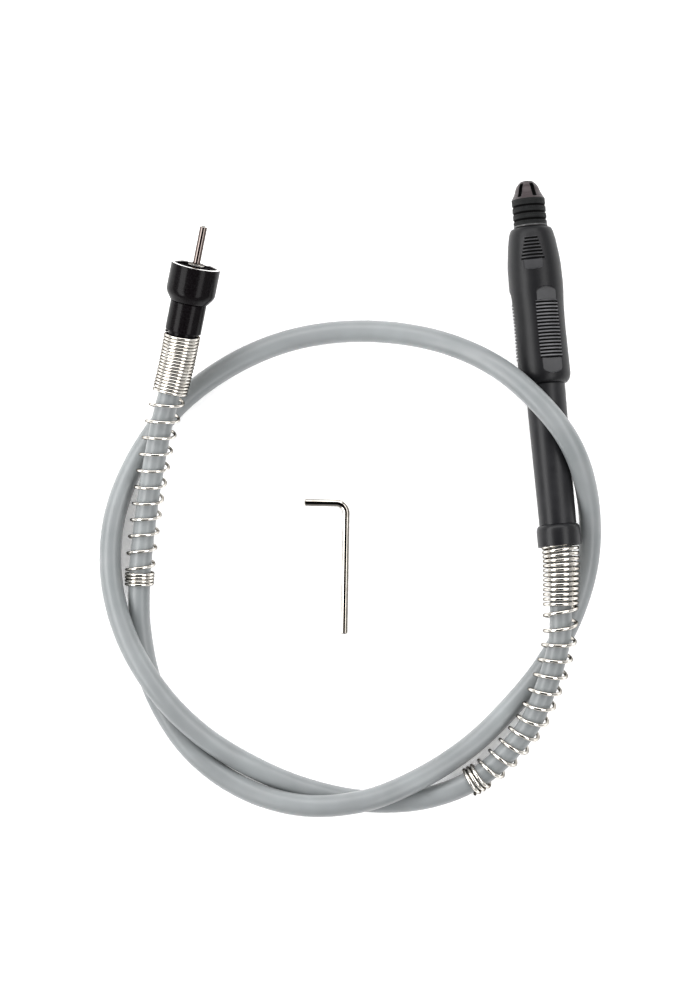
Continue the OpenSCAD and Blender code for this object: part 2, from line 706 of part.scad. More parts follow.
module swivel_ring() {
    in_drive_end() color("#7b7e80") difference() {
        disc(neck_d / 2 + 1.5, ring_z, ring_z + ring_w);
        disc(neck_d / 2 - 0.4 + slip, ring_z - 1, ring_z + 3);
        translate([-1.5, 0, ring_z - 1]) cube([3, nut_d / 2, 4]);
    }
}

module drive_bush() {
    in_drive_end() color("#b08d4c") difference() {
        disc(bush_d / 2, bush_back_z + 0.1, ferrule_front_z);
        disc(socket_r + run, bush_back_z - 1, ferrule_front_z + 1);
    }
}

// Socket swaged on the core, in which the pin's square tail slides
module drive_socket() {
    in_drive_end() color("#9b9ea0") difference() {
        disc(socket_r, bush_back_z, socket_front_z);
        translate([-drive_square / 2 - slip, -drive_square / 2 - slip, bush_back_z + 1])
            cube([drive_square + 2 * slip, drive_square + 2 * slip, socket_front_z]);
    }
}

pin_engaged = 5;
flange_w = 1.2;
module drive_pin() {
    flange_z = nut_mouth_z - 0.9;
    tip_z = flange_z + flange_w + pin_len;
    boss_w = 1.1;
    chamfer = 0.5;
    in_drive_end() color("#c4c6c8") union() {
        translate([-drive_square / 2, -drive_square / 2, socket_front_z - pin_engaged])
            cube([drive_square, drive_square, flange_z - socket_front_z + pin_engaged + eps]);
        disc(socket_r - 0.2, flange_z - boss_w, flange_z);
        disc(flange_d / 2, flange_z, flange_z + flange_w);
        disc(pin_d / 2, flange_z, tip_z - chamfer);
        translate([0, 0, tip_z - chamfer]) cylinder(r1 = pin_d / 2, r2 = pin_d / 2 - chamfer, h = chamfer);
    }
}

// ---- Hex key ----

key_bend = 4.5;
module key_section() {
    rotate(90) circle(d = key_af / cos(30), $fn = 6);
}

// Straight arm whose end is turned to a 45 degree chamfer
module key_arm(length) {
    intersection() {
        linear_extrude(length) key_section();
        cylinder(r1 = key_af / 2 - 0.1 + length, r2 = key_af / 2 - 0.1, h = length);
    }
}

module hex_key() {
    translate([key_xy.x, key_xy.y, key_af / cos(30) / 2]) rotate([0, 0, key_turn]) color("#b7babc") union() {
        translate([0, -key_bend, 0]) rotate([90, 0, 0]) key_arm(key_long - key_bend);
        translate([-key_bend, 0, 0]) rotate([0, -90, 0]) rotate([0, 0, 90]) key_arm(key_short - key_bend);
        translate([-key_bend, -key_bend, 0]) rotate_extrude(angle = 90)
            translate([key_bend, 0]) key_section();
    }
}

chuck_body();
jaw_1();
jaw_2();
jaw_3();
jaw_plate();
spindle();
front_bearing_outer();
front_bearing_inner();
front_bearing_balls();
rear_bearing_outer();
rear_bearing_inner();
rear_bearing_balls();
bearing_spacer();
retaining_ring();
handpiece_tube();
grip_sleeve();
rear_collar();
collar_screw();
hose_ferrule();
core_tip();
handpiece_spring();
hose_sheath();
hose_liner();
flex_core();
drive_spring();
coupling_ferrule();
ferrule_screw();
coupling_nut();
swivel_ring();
drive_bush();
drive_socket();
drive_pin();
hex_key();
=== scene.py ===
"""Looks of a rotary tool handpiece on a flexible drive shaft, with its hex key.

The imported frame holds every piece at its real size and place. This script dresses it: each sub-assembly is a
class whose fields are sizes in millimetres and whose methods work its surfaces out as whole numpy arrays, and
each finish is a frozen dataclass that builds one node material. Lengths are in millimetres until a mesh is
made, in metres.
"""

import json  # noqa: E402
import logging  # noqa: E402
import math  # noqa: E402
from dataclasses import dataclass, field, replace  # noqa: E402
from enum import Enum  # noqa: E402
from typing import Any  # noqa: E402

import bpy  # noqa: E402
import numpy as np  # noqa: E402
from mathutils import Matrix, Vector  # noqa: E402

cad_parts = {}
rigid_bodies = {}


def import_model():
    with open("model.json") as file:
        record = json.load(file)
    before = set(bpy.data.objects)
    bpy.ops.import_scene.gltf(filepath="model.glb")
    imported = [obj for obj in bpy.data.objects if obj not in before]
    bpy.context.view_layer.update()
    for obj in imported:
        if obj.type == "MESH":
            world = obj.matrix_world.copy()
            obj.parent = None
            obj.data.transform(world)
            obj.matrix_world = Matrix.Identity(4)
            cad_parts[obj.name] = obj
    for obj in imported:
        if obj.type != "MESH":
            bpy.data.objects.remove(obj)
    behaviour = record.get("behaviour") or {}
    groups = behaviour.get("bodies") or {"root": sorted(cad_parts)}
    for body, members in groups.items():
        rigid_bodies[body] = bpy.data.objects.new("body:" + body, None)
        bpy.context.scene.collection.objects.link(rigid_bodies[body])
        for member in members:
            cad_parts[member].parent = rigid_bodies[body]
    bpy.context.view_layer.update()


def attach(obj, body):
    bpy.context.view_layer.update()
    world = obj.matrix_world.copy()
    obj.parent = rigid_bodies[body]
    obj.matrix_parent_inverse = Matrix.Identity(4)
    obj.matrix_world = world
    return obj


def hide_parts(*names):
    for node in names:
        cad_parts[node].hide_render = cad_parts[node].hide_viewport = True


log = logging.getLogger("rotary_tool")

MM = 0.001
Array = np.ndarray


# ---- Surfaces ----


class Ends(Enum):
    """What happens at a grid's first and last rows."""

    JOINED = "the last row meets the first"
    CAPPED = "each end closes in a fan round its middle point"


def unit(vectors: Array) -> Array:
    """Each vector divided by its own length."""
    return vectors / np.linalg.norm(vectors, axis=-1, keepdims=True)


def smoothstep(low: float, high: float, x: Array) -> Array:
    """0 below low, 1 above high, and the cubic 3t^2 - 2t^3 between them."""
    t = np.clip((x - low) / (high - low), 0.0, 1.0)
    return t * t * (3.0 - 2.0 * t)


def smooth_curve(xs: Array, ys: Array, x: Array) -> Array:
    """Smooth curve through the points (xs, ys): cubics whose slopes are the mean slopes of the neighbours.

    Args:
        xs: Places of the points, rising.
        ys: Their values.
        x: Where the curve is wanted.

    Returns:
        The curve's value at each x.
    """
    slopes = np.gradient(ys, xs)
    i = np.clip(np.searchsorted(xs, x) - 1, 0, len(xs) - 2)
    width = xs[i + 1] - xs[i]
    t = np.clip((x - xs[i]) / width, 0.0, 1.0)
    rise = ys[i] * (1 + 2 * t) * (1 - t) ** 2 + ys[i + 1] * t * t * (3 - 2 * t)
    return rise + width * (slopes[i] * t * (1 - t) ** 2 + slopes[i + 1] * t * t * (t - 1))


def soften(corners: list[tuple[float, float]], reach: float | list[float], steps: int = 5) -> Array:
    """Closed outline with rounded corners: each becomes a parabola that leaves the two sides at reach.

    Args:
        corners: The outline's corners, in order.
        reach: Distance from the corner at which the rounding starts, one for all or one for each.
        steps: Points on each rounding.

    Returns:
        The outline's points, steps for each corner.
    """
    p = np.asarray(corners, float)
    back, ahead = np.roll(p, 1, axis=0) - p, np.roll(p, -1, axis=0) - p
    shorter = np.minimum(np.linalg.norm(back, axis=1), np.linalg.norm(ahead, axis=1))
    cut = np.minimum(np.broadcast_to(reach, len(p)), 0.45 * shorter)[:, None, None]
    t = np.linspace(0.0, 1.0, steps)[None, :, None]
    start, end = unit(back)[:, None] * cut, unit(ahead)[:, None] * cut
    return (p[:, None] + (1 - t) ** 2 * start + t * t * end).reshape(-1, 2)


def fill_in(outline: Array, spacing: float) -> Array:
    """Closed outline with points added along its long sides, at most spacing apart."""
    ahead = np.roll(outline, -1, axis=0)
    counts = np.maximum(1, np.ceil(np.linalg.norm(ahead - outline, axis=1) / spacing)).astype(int)
    side = np.repeat(np.arange(len(outline)), counts)
    step = np.arange(len(side)) - np.repeat(np.cumsum(counts) - counts, counts)
    return outline[side] + (ahead - outline)[side] * (step / counts[side])[:, None]


def turned(radii: Array, heights: Array, columns: int) -> Array:
    """Surface of revolution about +Z: (r cos a, r sin a, z) for each row's r and z and each column's angle a.

    Args:
        radii: One radius a row, or a whole grid of them, rows by columns.
        heights: One height a row.
        columns: Points round the axis.

    Returns:
        The grid of points, rows by columns by 3.
    """
    a = np.arange(columns) * (2 * math.pi / columns)
    r = np.broadcast_to(radii if radii.ndim == 2 else radii[:, None], (len(heights), columns))
    return np.stack([r * np.cos(a), r * np.sin(a), np.broadcast_to(heights[:, None], r.shape)], axis=-1)


def swept(path: Array, across: Array, beside: Array, radii: Array, columns: int) -> Array:
    """Round tube carried along a path: p + r (cos a n + sin a b) for each p of the path and each angle a.

    Args:
        path: Points down the middle, rows by 3.
        across: Unit vector n at each of them, square to the path.
        beside: Unit vector b at each, square to both.
        radii: The tube's radius at each.
        columns: Points round the tube.

    Returns:
        The grid of points, rows by columns by 3.
    """
    a = (np.arange(columns) + 0.5) * (2 * math.pi / columns)
    ring = np.cos(a)[None, :, None] * across[:, None] + np.sin(a)[None, :, None] * beside[:, None]
    return path[:, None] + radii[:, None, None] * ring


def grid_mesh(name: str, grid: Array, ends: Ends, sharp: float = 32.0) -> bpy.types.Object:
    """Closed mesh over a grid whose columns run round, with a UV map in millimetres and its faces outwards.

    U runs along the rows and V round the columns, as lengths measured on the surface.

    Args:
        name: Name of the object.
        grid: Points in millimetres, rows by columns by 3.
        ends: How the first and last rows close.
        sharp: Angle in degrees above which an edge shows sharp.

    Returns:
        The new object, with no parent.
    """
    rows, columns = grid.shape[:2]
    strips = rows if ends is Ends.JOINED else rows - 1
    row_at, column_at = np.meshgrid(np.arange(strips), np.arange(columns), indexing="ij")
    next_row, next_column = (row_at + 1) % rows, (column_at + 1) % columns
    quads = np.stack([row_at * columns + column_at, next_row * columns + column_at,
                      next_row * columns + next_column, row_at * columns + next_column], axis=-1)
    quads = quads.reshape(-1, 4)
    along_step = np.linalg.norm(np.roll(grid, -1, axis=0) - grid, axis=-1).mean(axis=1)
    round_step = np.linalg.norm(np.roll(grid, -1, axis=1) - grid, axis=-1).mean()
    along = np.concatenate([[0.0], np.cumsum(along_step)])
    u = np.stack([along[row_at], along[row_at + 1], along[row_at + 1], along[row_at]], axis=-1).reshape(-1)
    v = np.stack([column_at, column_at, column_at + 1, column_at + 1], axis=-1).reshape(-1) * round_step
    points = grid.reshape(-1, 3)
    corners, starts, totals = quads.reshape(-1), np.arange(len(quads)) * 4, np.full(len(quads), 4)
    if ends is Ends.CAPPED:
        k = np.arange(columns)
        first = np.stack([(k + 1) % columns, k, np.full(columns, len(points))][::-1], axis=-1)
        last = np.stack([k, (k + 1) % columns, np.full(columns, len(points) + 1)][::-1], axis=-1)
        last[:, 1:] += (rows - 1) * columns
        fans = np.concatenate([first, last])
        points = np.concatenate([points, grid[0].mean(axis=0)[None], grid[-1].mean(axis=0)[None]])
        starts = np.concatenate([starts, len(corners) + np.arange(len(fans)) * 3])
        totals = np.concatenate([totals, np.full(len(fans), 3)])
        corners = np.concatenate([corners, fans.reshape(-1)])
        u = np.concatenate([u, np.zeros(len(fans) * 3)])
        v = np.concatenate([v, np.zeros(len(fans) * 3)])
    return new_object(name, points, corners, starts, totals, np.stack([u, v], axis=-1), sharp)


def new_object(name: str, points: Array, corners: Array, starts: Array, totals: Array, uv: Array,
               sharp: float) -> bpy.types.Object:
    """Object with that mesh at the origin, turned right side out.

    The signed volume, a sixth of the sum of a . (b x c) over the fanned triangles, is negative inside out.

    Args:
        name: Name of the object and its mesh.
        points: Vertices in millimetres.
        corners: Vertex of each face corner.
        starts: First corner of each face.
        totals: Corners of each face.
        uv: UV of each corner, in millimetres.
        sharp: Angle in degrees above which an edge shows sharp.

    Returns:
        The object, linked to the scene.
    """
    a, b, c = (points[corners[starts + i]] for i in range(3))
    four = starts[totals == 4]
    d, e, f = (points[corners[four + i]] for i in (0, 2, 3))
    volume = np.einsum("ij,ij->", a, np.cross(b, c)) + np.einsum("ij,ij->", d, np.cross(e, f))
    mesh = bpy.data.meshes.new(name)
    mesh.vertices.add(len(points))
    mesh.vertices.foreach_set("co", (points * MM).astype(np.float32).reshape(-1))
    mesh.loops.add(len(corners))
    mesh.loops.foreach_set("vertex_index", corners.astype(np.int32))
    mesh.polygons.add(len(starts))
    mesh.polygons.foreach_set("loop_start", starts.astype(np.int32))
    mesh.polygons.foreach_set("use_smooth", np.ones(len(starts), bool))
    mesh.update(calc_edges=True)
    layer = mesh.uv_layers.new(name="surface_mm")
    layer.uv.foreach_set("vector", uv.astype(np.float32).reshape(-1))
    if volume < 0:
        mesh.flip_normals()
    mesh.validate()
    mesh.set_sharp_from_angle(angle=math.radians(sharp))
    obj = bpy.data.objects.new(name, mesh)
    bpy.context.scene.collection.objects.link(obj)
    return obj


def paint(obj: bpy.types.Object, name: str, values: Array) -> None:
    """Stores a number for each vertex, which a finish reads as an attribute of that name.

    Args:
        obj: A mesh made by grid_mesh.
        name: Name of the attribute.
        values: The grid of numbers. The middle points of capped ends get the mean.
    """
    flat = np.full(len(obj.data.vertices), float(values.mean()), np.float32)
    flat[: values.size] = values.reshape(-1)
    attribute = obj.data.attributes.new(name, "FLOAT", "POINT")
    attribute.data.foreach_set("value", flat)


def bore_out(obj: bpy.types.Object, place: "Place", height: float, diameter: float,
             sharp: float = 32.0) -> None:
    """Cuts a round hole through one wall, along the piece's own +Y, and keeps the result as the mesh.

    Args:
        obj: The piece.
        place: The frame that the hole is given in.
        height: Where the hole is along the piece.
        diameter: Its diameter.
        sharp: Angle in degrees above which an edge shows sharp.
    """
    depth = np.array([1.0, 20.0])
    ring = turned(np.full(2, diameter / 2), depth, 40)
    along_y = np.stack([ring[..., 0], ring[..., 2], -ring[..., 1]], axis=-1) + [0.0, 0.0, height]
    cutter = grid_mesh(f"{obj.name}_cutter", place.to_world(along_y), Ends.CAPPED)
    cut = obj.modifiers.new("hole", "BOOLEAN")
    cut.operation, cut.solver, cut.object = "DIFFERENCE", "EXACT", cutter
    result = bpy.data.meshes.new_from_object(obj.evaluated_get(bpy.context.evaluated_depsgraph_get()))
    obj.modifiers.clear()
    old, obj.data = obj.data, result
    bpy.data.meshes.remove(old)
    bpy.data.objects.remove(cutter)
    obj.data.set_sharp_from_angle(angle=math.radians(sharp))


@dataclass(frozen=True)
class Place:
    """A rigid end's own frame: where it starts on the table, and how its +Z leans in plan and rises."""

    origin: tuple[float, float, float]
    lean: float
    rise: float

    def turn(self) -> Array:
        """The rotation: first by rise - 90 degrees about X, then by lean about Z."""
        tilt, spin = math.radians(self.rise - 90), math.radians(self.lean)
        about_x = np.array([[1, 0, 0],
                            [0, math.cos(tilt), -math.sin(tilt)],
                            [0, math.sin(tilt), math.cos(tilt)]])
        about_z = np.array([[math.cos(spin), -math.sin(spin), 0],
                            [math.sin(spin), math.cos(spin), 0],
                            [0, 0, 1]])
        return about_z @ about_x

    def axis(self) -> Array:
        """Unit vector along the end's +Z, in the row frame."""
        return self.turn()[:, 2]

    def to_world(self, points: Array) -> Array:
        """Points of the end's frame, in the row frame."""
        return points @ self.turn().T + np.array(self.origin)


# ---- Finishes ----


def linear(colour: str) -> tuple[float, float, float, float]:
    """An sRGB colour such as #8d9295 as linear red, green, blue and alpha."""
    srgb = np.array([int(colour[i : i + 2], 16) for i in (1, 3, 5)]) / 255
    r, g, b = np.where(srgb <= 0.04045, srgb / 12.92, ((srgb + 0.055) / 1.055) ** 2.4)
    return float(r), float(g), float(b), 1.0


def add_node(tree: bpy.types.NodeTree, kind: str, settings: dict[str, Any] | None = None,
             inputs: dict[str | int, Any] | None = None) -> bpy.types.Node:
    """Adds a node to a material.

    Args:
        tree: The material's node tree.
        kind: Blender's name of the node's type.
        settings: Its properties.
        inputs: Its inputs by name or number: a socket is linked, anything else is set.

    Returns:
        The node.
    """
    node = tree.nodes.new(kind)
    for key, value in (settings or {}).items():
        setattr(node, key, value)
    for key, value in (inputs or {}).items():
        if isinstance(value, bpy.types.NodeSocket):
            tree.links.new(value, node.inputs[key])
        else:
            node.inputs[key].default_value = value
    return node


@dataclass(frozen=True)
class Finish:
    """What every finish has: its name, the record's slot, its colour and how it reflects."""

    name: str
    slot: str
    colour: str
    metallic: float = 0.0
    roughness: float = 0.5
    ior: float = 1.5
    specular: float = 0.5

    def material(self) -> bpy.types.Material:
        """The finish's material, made once and shared by the pieces that have it."""
        if self.name in bpy.data.materials:
            return bpy.data.materials[self.name]
        material = bpy.data.materials.new(self.name)
        material.use_nodes = True
        tree = material.node_tree
        shader = tree.nodes["Principled BSDF"]
        shader.inputs["Base Color"].default_value = linear(self.colour)
        shader.inputs["Metallic"].default_value = self.metallic
        shader.inputs["Roughness"].default_value = self.roughness
        shader.inputs["Specular IOR Level"].default_value = self.specular
        if self.metallic < 1.0:
            shader.inputs["IOR"].default_value = self.ior
        self.detail(tree, shader)
        return material

    def detail(self, tree: bpy.types.NodeTree, shader: bpy.types.Node) -> None:
        """Adds what one flat colour lacks. Each kind of finish has its own."""
        raise NotImplementedError

    def noise(self, tree: bpy.types.NodeTree, coordinate: bpy.types.NodeSocket, size: float,
              metres: bool = True, octaves: float = 3.0,
              stretch: tuple[float, float, float] = (1.0, 1.0, 1.0)) -> bpy.types.NodeSocket:
        """Noise whose lumps are about that size.

        Args:
            tree: The material's node tree.
            coordinate: What it is drawn on.
            size: Size of a lump in millimetres.
            metres: Whether the coordinate is in metres and not in millimetres.
            octaves: Finer layers of the noise.
            stretch: How much longer a lump is along each axis.

        Returns:
            The noise's value, about 0.5 in the mean.
        """
        scale = Vector((1 / stretch[0], 1 / stretch[1], 1 / stretch[2]))
        fitted = add_node(tree, "ShaderNodeMapping", None, {"Vector": coordinate, "Scale": scale})
        per_unit = 1 / (size * MM) if metres else 1 / size
        return add_node(tree, "ShaderNodeTexNoise", None,
                        {"Vector": fitted.outputs[0], "Scale": per_unit, "Detail": octaves}).outputs["Fac"]

    def vary(self, tree: bpy.types.NodeTree, value: bpy.types.NodeSocket, low: float, high: float,
             start: float = 0.3, end: float = 0.7) -> bpy.types.NodeSocket:
        """The value carried from start..end to low..high."""
        carried = add_node(tree, "ShaderNodeMapRange", None, {
            "Value": value, "From Min": start, "From Max": end, "To Min": low, "To Max": high})
        return carried.outputs[0]

    def tint(self, tree: bpy.types.NodeTree, value: bpy.types.NodeSocket, stops: list[tuple[float, str]]
             ) -> bpy.types.NodeSocket:
        """Colours along the value: each stop is where it is and its sRGB colour."""
        ramp = add_node(tree, "ShaderNodeValToRGB", None, {"Fac": value})
        elements = ramp.color_ramp.elements
        while len(elements) < len(stops):
            elements.new(0.5)
        for element, (at, colour) in zip(elements, stops):
            element.position, element.color = at, linear(colour)
        return ramp.outputs["Color"]

    def bump(self, tree: bpy.types.NodeTree, shader: bpy.types.Node, value: bpy.types.NodeSocket,
             height: float, strength: float = 1.0) -> None:
        """Raises the surface by up to height millimetres where the value is 1."""
        relief = add_node(tree, "ShaderNodeBump", None,
                          {"Height": value, "Distance": height * MM, "Strength": strength})
        tree.links.new(relief.outputs[0], shader.inputs["Normal"])

    def dull_hollows(self, tree: bpy.types.NodeTree, shader: bpy.types.Node, roughness: bpy.types.NodeSocket,
                     mark: bpy.types.NodeSocket) -> None:
        """Links the roughness, and makes it fully matt where the mark falls to 0, as in a dusty groove."""
        matt = self.vary(tree, mark, 1.0, 0.0, 0.05, 0.4)
        duller = add_node(tree, "ShaderNodeMath", {"operation": "MAXIMUM"}, {0: roughness, 1: matt})
        tree.links.new(duller.outputs[0], shader.inputs["Roughness"])

    def objects(self, tree: bpy.types.NodeTree) -> bpy.types.NodeSocket:
        """Object coordinates, in metres."""
        return add_node(tree, "ShaderNodeTexCoord").outputs["Object"]

    def surface(self, tree: bpy.types.NodeTree) -> bpy.types.NodeSocket:
        """The piece's own UV map, in millimetres along and round it."""
        return add_node(tree, "ShaderNodeUVMap", {"uv_map": "surface_mm"}).outputs[0]

    def mark(self, tree: bpy.types.NodeTree, name: str) -> bpy.types.NodeSocket:
        """The number that the piece's vertices carry under that name."""
        return add_node(tree, "ShaderNodeAttribute", {"attribute_name": name}).outputs["Fac"]


@dataclass(frozen=True)
class ExtrudedPvc(Finish):
    """Plasticised PVC drawn through a die: satin, faintly streaked lengthwise, with cloudy rub marks."""

    streak: float = 0.9
    cloud: float = 24.0

    def detail(self, tree: bpy.types.NodeTree, shader: bpy.types.Node) -> None:
        """Clouds shift the grey, streaks along the hose roughen it, and both barely dent it."""
        clouds = self.noise(tree, self.objects(tree), self.cloud)
        streaks = self.noise(tree, self.surface(tree), self.streak, False, 2.0, (60.0, 1.0, 1.0))
        tree.links.new(self.tint(tree, clouds, [(0.3, "#707475"), (0.5, self.colour), (0.72, "#7f8384")]),
                       shader.inputs["Base Color"])
        tree.links.new(self.vary(tree, streaks, self.roughness - 0.05, self.roughness + 0.06),
                       shader.inputs["Roughness"])
        self.bump(tree, shader, streaks, 0.02, 0.6)
        shader.inputs["Coat Weight"].default_value = 0.12
        shader.inputs["Coat Roughness"].default_value = 0.35


@dataclass(frozen=True)
class PlatedWire(Finish):
    """Drawn wire under bright nickel: a mirror with fine scores along the wire."""

    metallic: float = 1.0
    score: float = 0.12
    # Painted dark reflection: the edge tint that darkens the wire's outline.
    edge: str = "#3e3b38"

    def detail(self, tree: bpy.types.NodeTree, shader: bpy.types.Node) -> None:
        """Scores run along the wire, the plating's tone wanders, and its reflection darkens at a glancing
        angle, a painted dark reflection that outlines the wire.
        """
        shader.inputs["Specular Tint"].default_value = linear(self.edge)
        scores = self.noise(tree, self.surface(tree), self.score, False, 2.0, (40.0, 1.0, 1.0))
        tones = self.noise(tree, self.objects(tree), 3.0)
        tree.links.new(self.tint(tree, tones, [(0.3, "#bfbab2"), (0.6, self.colour)]),
                       shader.inputs["Base Color"])
        tree.links.new(self.vary(tree, scores, self.roughness - 0.04, self.roughness + 0.07),
                       shader.inputs["Roughness"])
        self.bump(tree, shader, scores, 0.004)


@dataclass(frozen=True)
class SoftTouchRubber(Finish):
    """Moulded thermoplastic rubber with a matt skin: charcoal and paler on the ribs, with painted shade in its
    grooves and a painted highlight on its flats.
    """

    grain: float = 0.35
    rib: str = "#5e5e60"
    # Painted shade: the grooves' near black colour.
    groove: str = "#020202"

    def detail(self, tree: bpy.types.NodeTree, shader: bpy.types.Node) -> None:
        """The attribute relief is 0 in a groove, which shows near black as painted shade, 0.5 on the plain
        skin, 0.66 on a flat, which shows paler as a painted highlight, and 1 on a rib.
        """
        tones = self.tint(tree, self.mark(tree, "relief"),
                          [(0.0, self.groove), (0.5, self.colour), (1.0, self.rib)])
        patches = self.noise(tree, self.objects(tree), 9.0)
        shade = add_node(tree, "ShaderNodeMix", {"data_type": "RGBA", "blend_type": "MULTIPLY"}, {
            "Factor": 1.0, 6: tones,
            7: self.tint(tree, patches, [(0.3, "#dedede"), (0.7, "#ffffff")])})
        tree.links.new(shade.outputs[2], shader.inputs["Base Color"])
        grains = self.noise(tree, self.objects(tree), self.grain, octaves=2.0)
        roughness = self.vary(tree, grains, self.roughness - 0.05, self.roughness + 0.07)
        self.dull_hollows(tree, shader, roughness, self.mark(tree, "relief"))
        self.bump(tree, shader, grains, 0.03, 0.7)


@dataclass(frozen=True)
class PowderCoat(Finish):
    """Black powder coat baked on aluminium: satin, with a fine orange-peel skin."""

    peel: float = 0.7
    height: float = 0.012

    def detail(self, tree: bpy.types.NodeTree, shader: bpy.types.Node) -> None:
        """Orange peel dents the skin, and handling dulls it in patches."""
        peels = self.noise(tree, self.objects(tree), self.peel, octaves=2.0)
        rubs = self.noise(tree, self.objects(tree), 12.0)
        tree.links.new(self.tint(tree, rubs, [(0.35, self.colour), (0.75, "#1f1f21")]),
                       shader.inputs["Base Color"])
        tree.links.new(self.vary(tree, rubs, self.roughness - 0.04, self.roughness + 0.06),
                       shader.inputs["Roughness"])
        self.bump(tree, shader, peels, self.height)


@dataclass(frozen=True)
class BlackOxide(Finish):
    """Chemically blackened turned steel: brown-black, with turning marks, painted shade in its slots, grooves
    and knurl hollows, and a rear rim painted paler as a highlight.
    """

    mark_pitch: float = 0.18

    def detail(self, tree: bpy.types.NodeTree, shader: bpy.types.Node) -> None:
        """Tone is 0 in a slot or groove and 0.15 in a knurl's hollows, both painted shade, 0.5 on crests, 0.75
        on the rim, a painted highlight, and 1 on the cone.
        """
        shader.inputs["Specular Tint"].default_value = linear("#707070")
        # Painted shade at 0, near black, and a painted highlight at 0.75, grey.
        tones = self.tint(tree, self.mark(tree, "tone"), [
            (0.0, "#010101"), (0.5, self.colour), (0.75, "#4c4c4c"), (1.0, "#3f393a")])
        tree.links.new(tones, shader.inputs["Base Color"])
        turning = self.noise(tree, self.surface(tree), self.mark_pitch, False, 2.0, (1.0, 80.0, 1.0))
        roughness = self.vary(tree, turning, self.roughness - 0.05, self.roughness + 0.08)
        self.dull_hollows(tree, shader, roughness, self.mark(tree, "tone"))
        self.bump(tree, shader, turning, 0.006)


@dataclass(frozen=True)
class GlossLacquer(Finish):
    """Stoved gloss black lacquer on steel: near black, mirror-like, faintly uneven, with a bare rim."""

    peel: float = 1.6
    steel: str = "#d6d4d2"

    def detail(self, tree: bpy.types.NodeTree, shader: bpy.types.Node) -> None:
        """Thin clear coat over uneven lacquer. The attribute bare is 1 where the steel is turned clean."""
        peels = self.noise(tree, self.objects(tree), self.peel, octaves=1.0)
        specks = self.noise(tree, self.objects(tree), 0.5)
        worn = self.mark(tree, "bare")
        black = self.tint(tree, specks, [(0.4, self.colour), (0.8, "#141314")])
        shade = add_node(tree, "ShaderNodeMix", {"data_type": "RGBA"}, {
            "Factor": worn, 6: black, 7: linear(self.steel)})
        tree.links.new(shade.outputs[2], shader.inputs["Base Color"])
        tree.links.new(worn, shader.inputs["Metallic"])
        tree.links.new(self.vary(tree, specks, self.roughness - 0.03, self.roughness + 0.06),
                       shader.inputs["Roughness"])
        self.bump(tree, shader, peels, 0.01, 0.5)
        shader.inputs["Coat Weight"].default_value = 0.03
        shader.inputs["Coat Roughness"].default_value = 0.12


@dataclass(frozen=True)
class WorkedMetal(Finish):
    """Bare or plated metal as a tool leaves it: scores of the grinding, and tones that wander over it."""

    metallic: float = 1.0
    grit: float = 0.15
    other: str = "#8a8784"
    relief: float = 0.004
    # Painted dark reflection: the edge tint that darkens the metal's outline.
    edge: str = "#6b6763"

    def detail(self, tree: bpy.types.NodeTree, shader: bpy.types.Node) -> None:
        """Fine scores roughen the metal, and broad clouds carry its tone towards the other colour."""
        shader.inputs["Specular Tint"].default_value = linear(self.edge)
        scores = self.noise(tree, self.objects(tree), self.grit, octaves=3.0)
        clouds = self.noise(tree, self.objects(tree), 5.0)
        tree.links.new(self.tint(tree, clouds, [(0.25, self.other), (0.55, self.colour)]),
                       shader.inputs["Base Color"])
        tree.links.new(self.vary(tree, scores, self.roughness - 0.04, self.roughness + 0.08),
                       shader.inputs["Roughness"])
        self.bump(tree, shader, scores, self.relief)


@dataclass(frozen=True)
class HardenedPin(WorkedMetal):
    """Hardened steel, bright at the flange and the tip, with its shank painted darker as a painted dark
    reflection.
    """

    # Painted dark reflection: the shank's colour.
    dark: str = "#6a615d"

    def detail(self, tree: bpy.types.NodeTree, shader: bpy.types.Node) -> None:
        """The attribute turned is 1 on the bright flange and tip and 0 on the shank, which gets the painted
        dark reflection.
        """
        super().detail(tree, shader)
        bright = shader.inputs["Base Color"].links[0].from_socket
        shade = add_node(tree, "ShaderNodeMix", {"data_type": "RGBA"}, {
            "Factor": self.mark(tree, "turned"), 6: linear(self.dark), 7: bright})
        tree.links.new(shade.outputs[2], shader.inputs["Base Color"])


@dataclass(frozen=True)
class WoundSteel(Finish):
    """Steel strip or wire wound edge to edge, oiled: dark bands across the way that it runs."""

    metallic: float = 1.0
    pitch: float = 1.2

    def detail(self, tree: bpy.types.NodeTree, shader: bpy.types.Node) -> None:
        """A wave texture stands for the turns: its bands are 1.17 pitches apart along the axes' diagonal."""
        bands = add_node(tree, "ShaderNodeTexWave", {"wave_type": "BANDS", "bands_direction": "DIAGONAL"}, {
            "Vector": self.objects(tree), "Scale": 0.31 / (self.pitch * MM), "Distortion": 0.4})
        wave = bands.outputs["Fac"]
        tree.links.new(self.tint(tree, wave, [(0.1, "#26282a"), (0.6, self.colour)]),
                       shader.inputs["Base Color"])
        self.bump(tree, shader, wave, 0.2)


@dataclass(frozen=True)
class LightTable(Finish):
    """The pale table: matt white acrylic, faintly lit from below, with a hardly visible roller texture."""

    glow: float = 0.25

    def detail(self, tree: bpy.types.NodeTree, shader: bpy.types.Node) -> None:
        """Roller texture of about 4 mm, and the glow."""
        texture = self.noise(tree, self.objects(tree), 4.0)
        tree.links.new(self.tint(tree, texture, [(0.3, "#f7f7f7"), (0.7, self.colour)]),
                       shader.inputs["Base Color"])
        shader.inputs["Emission Color"].default_value = linear("#ffffff")
        shader.inputs["Emission Strength"].default_value = self.glow


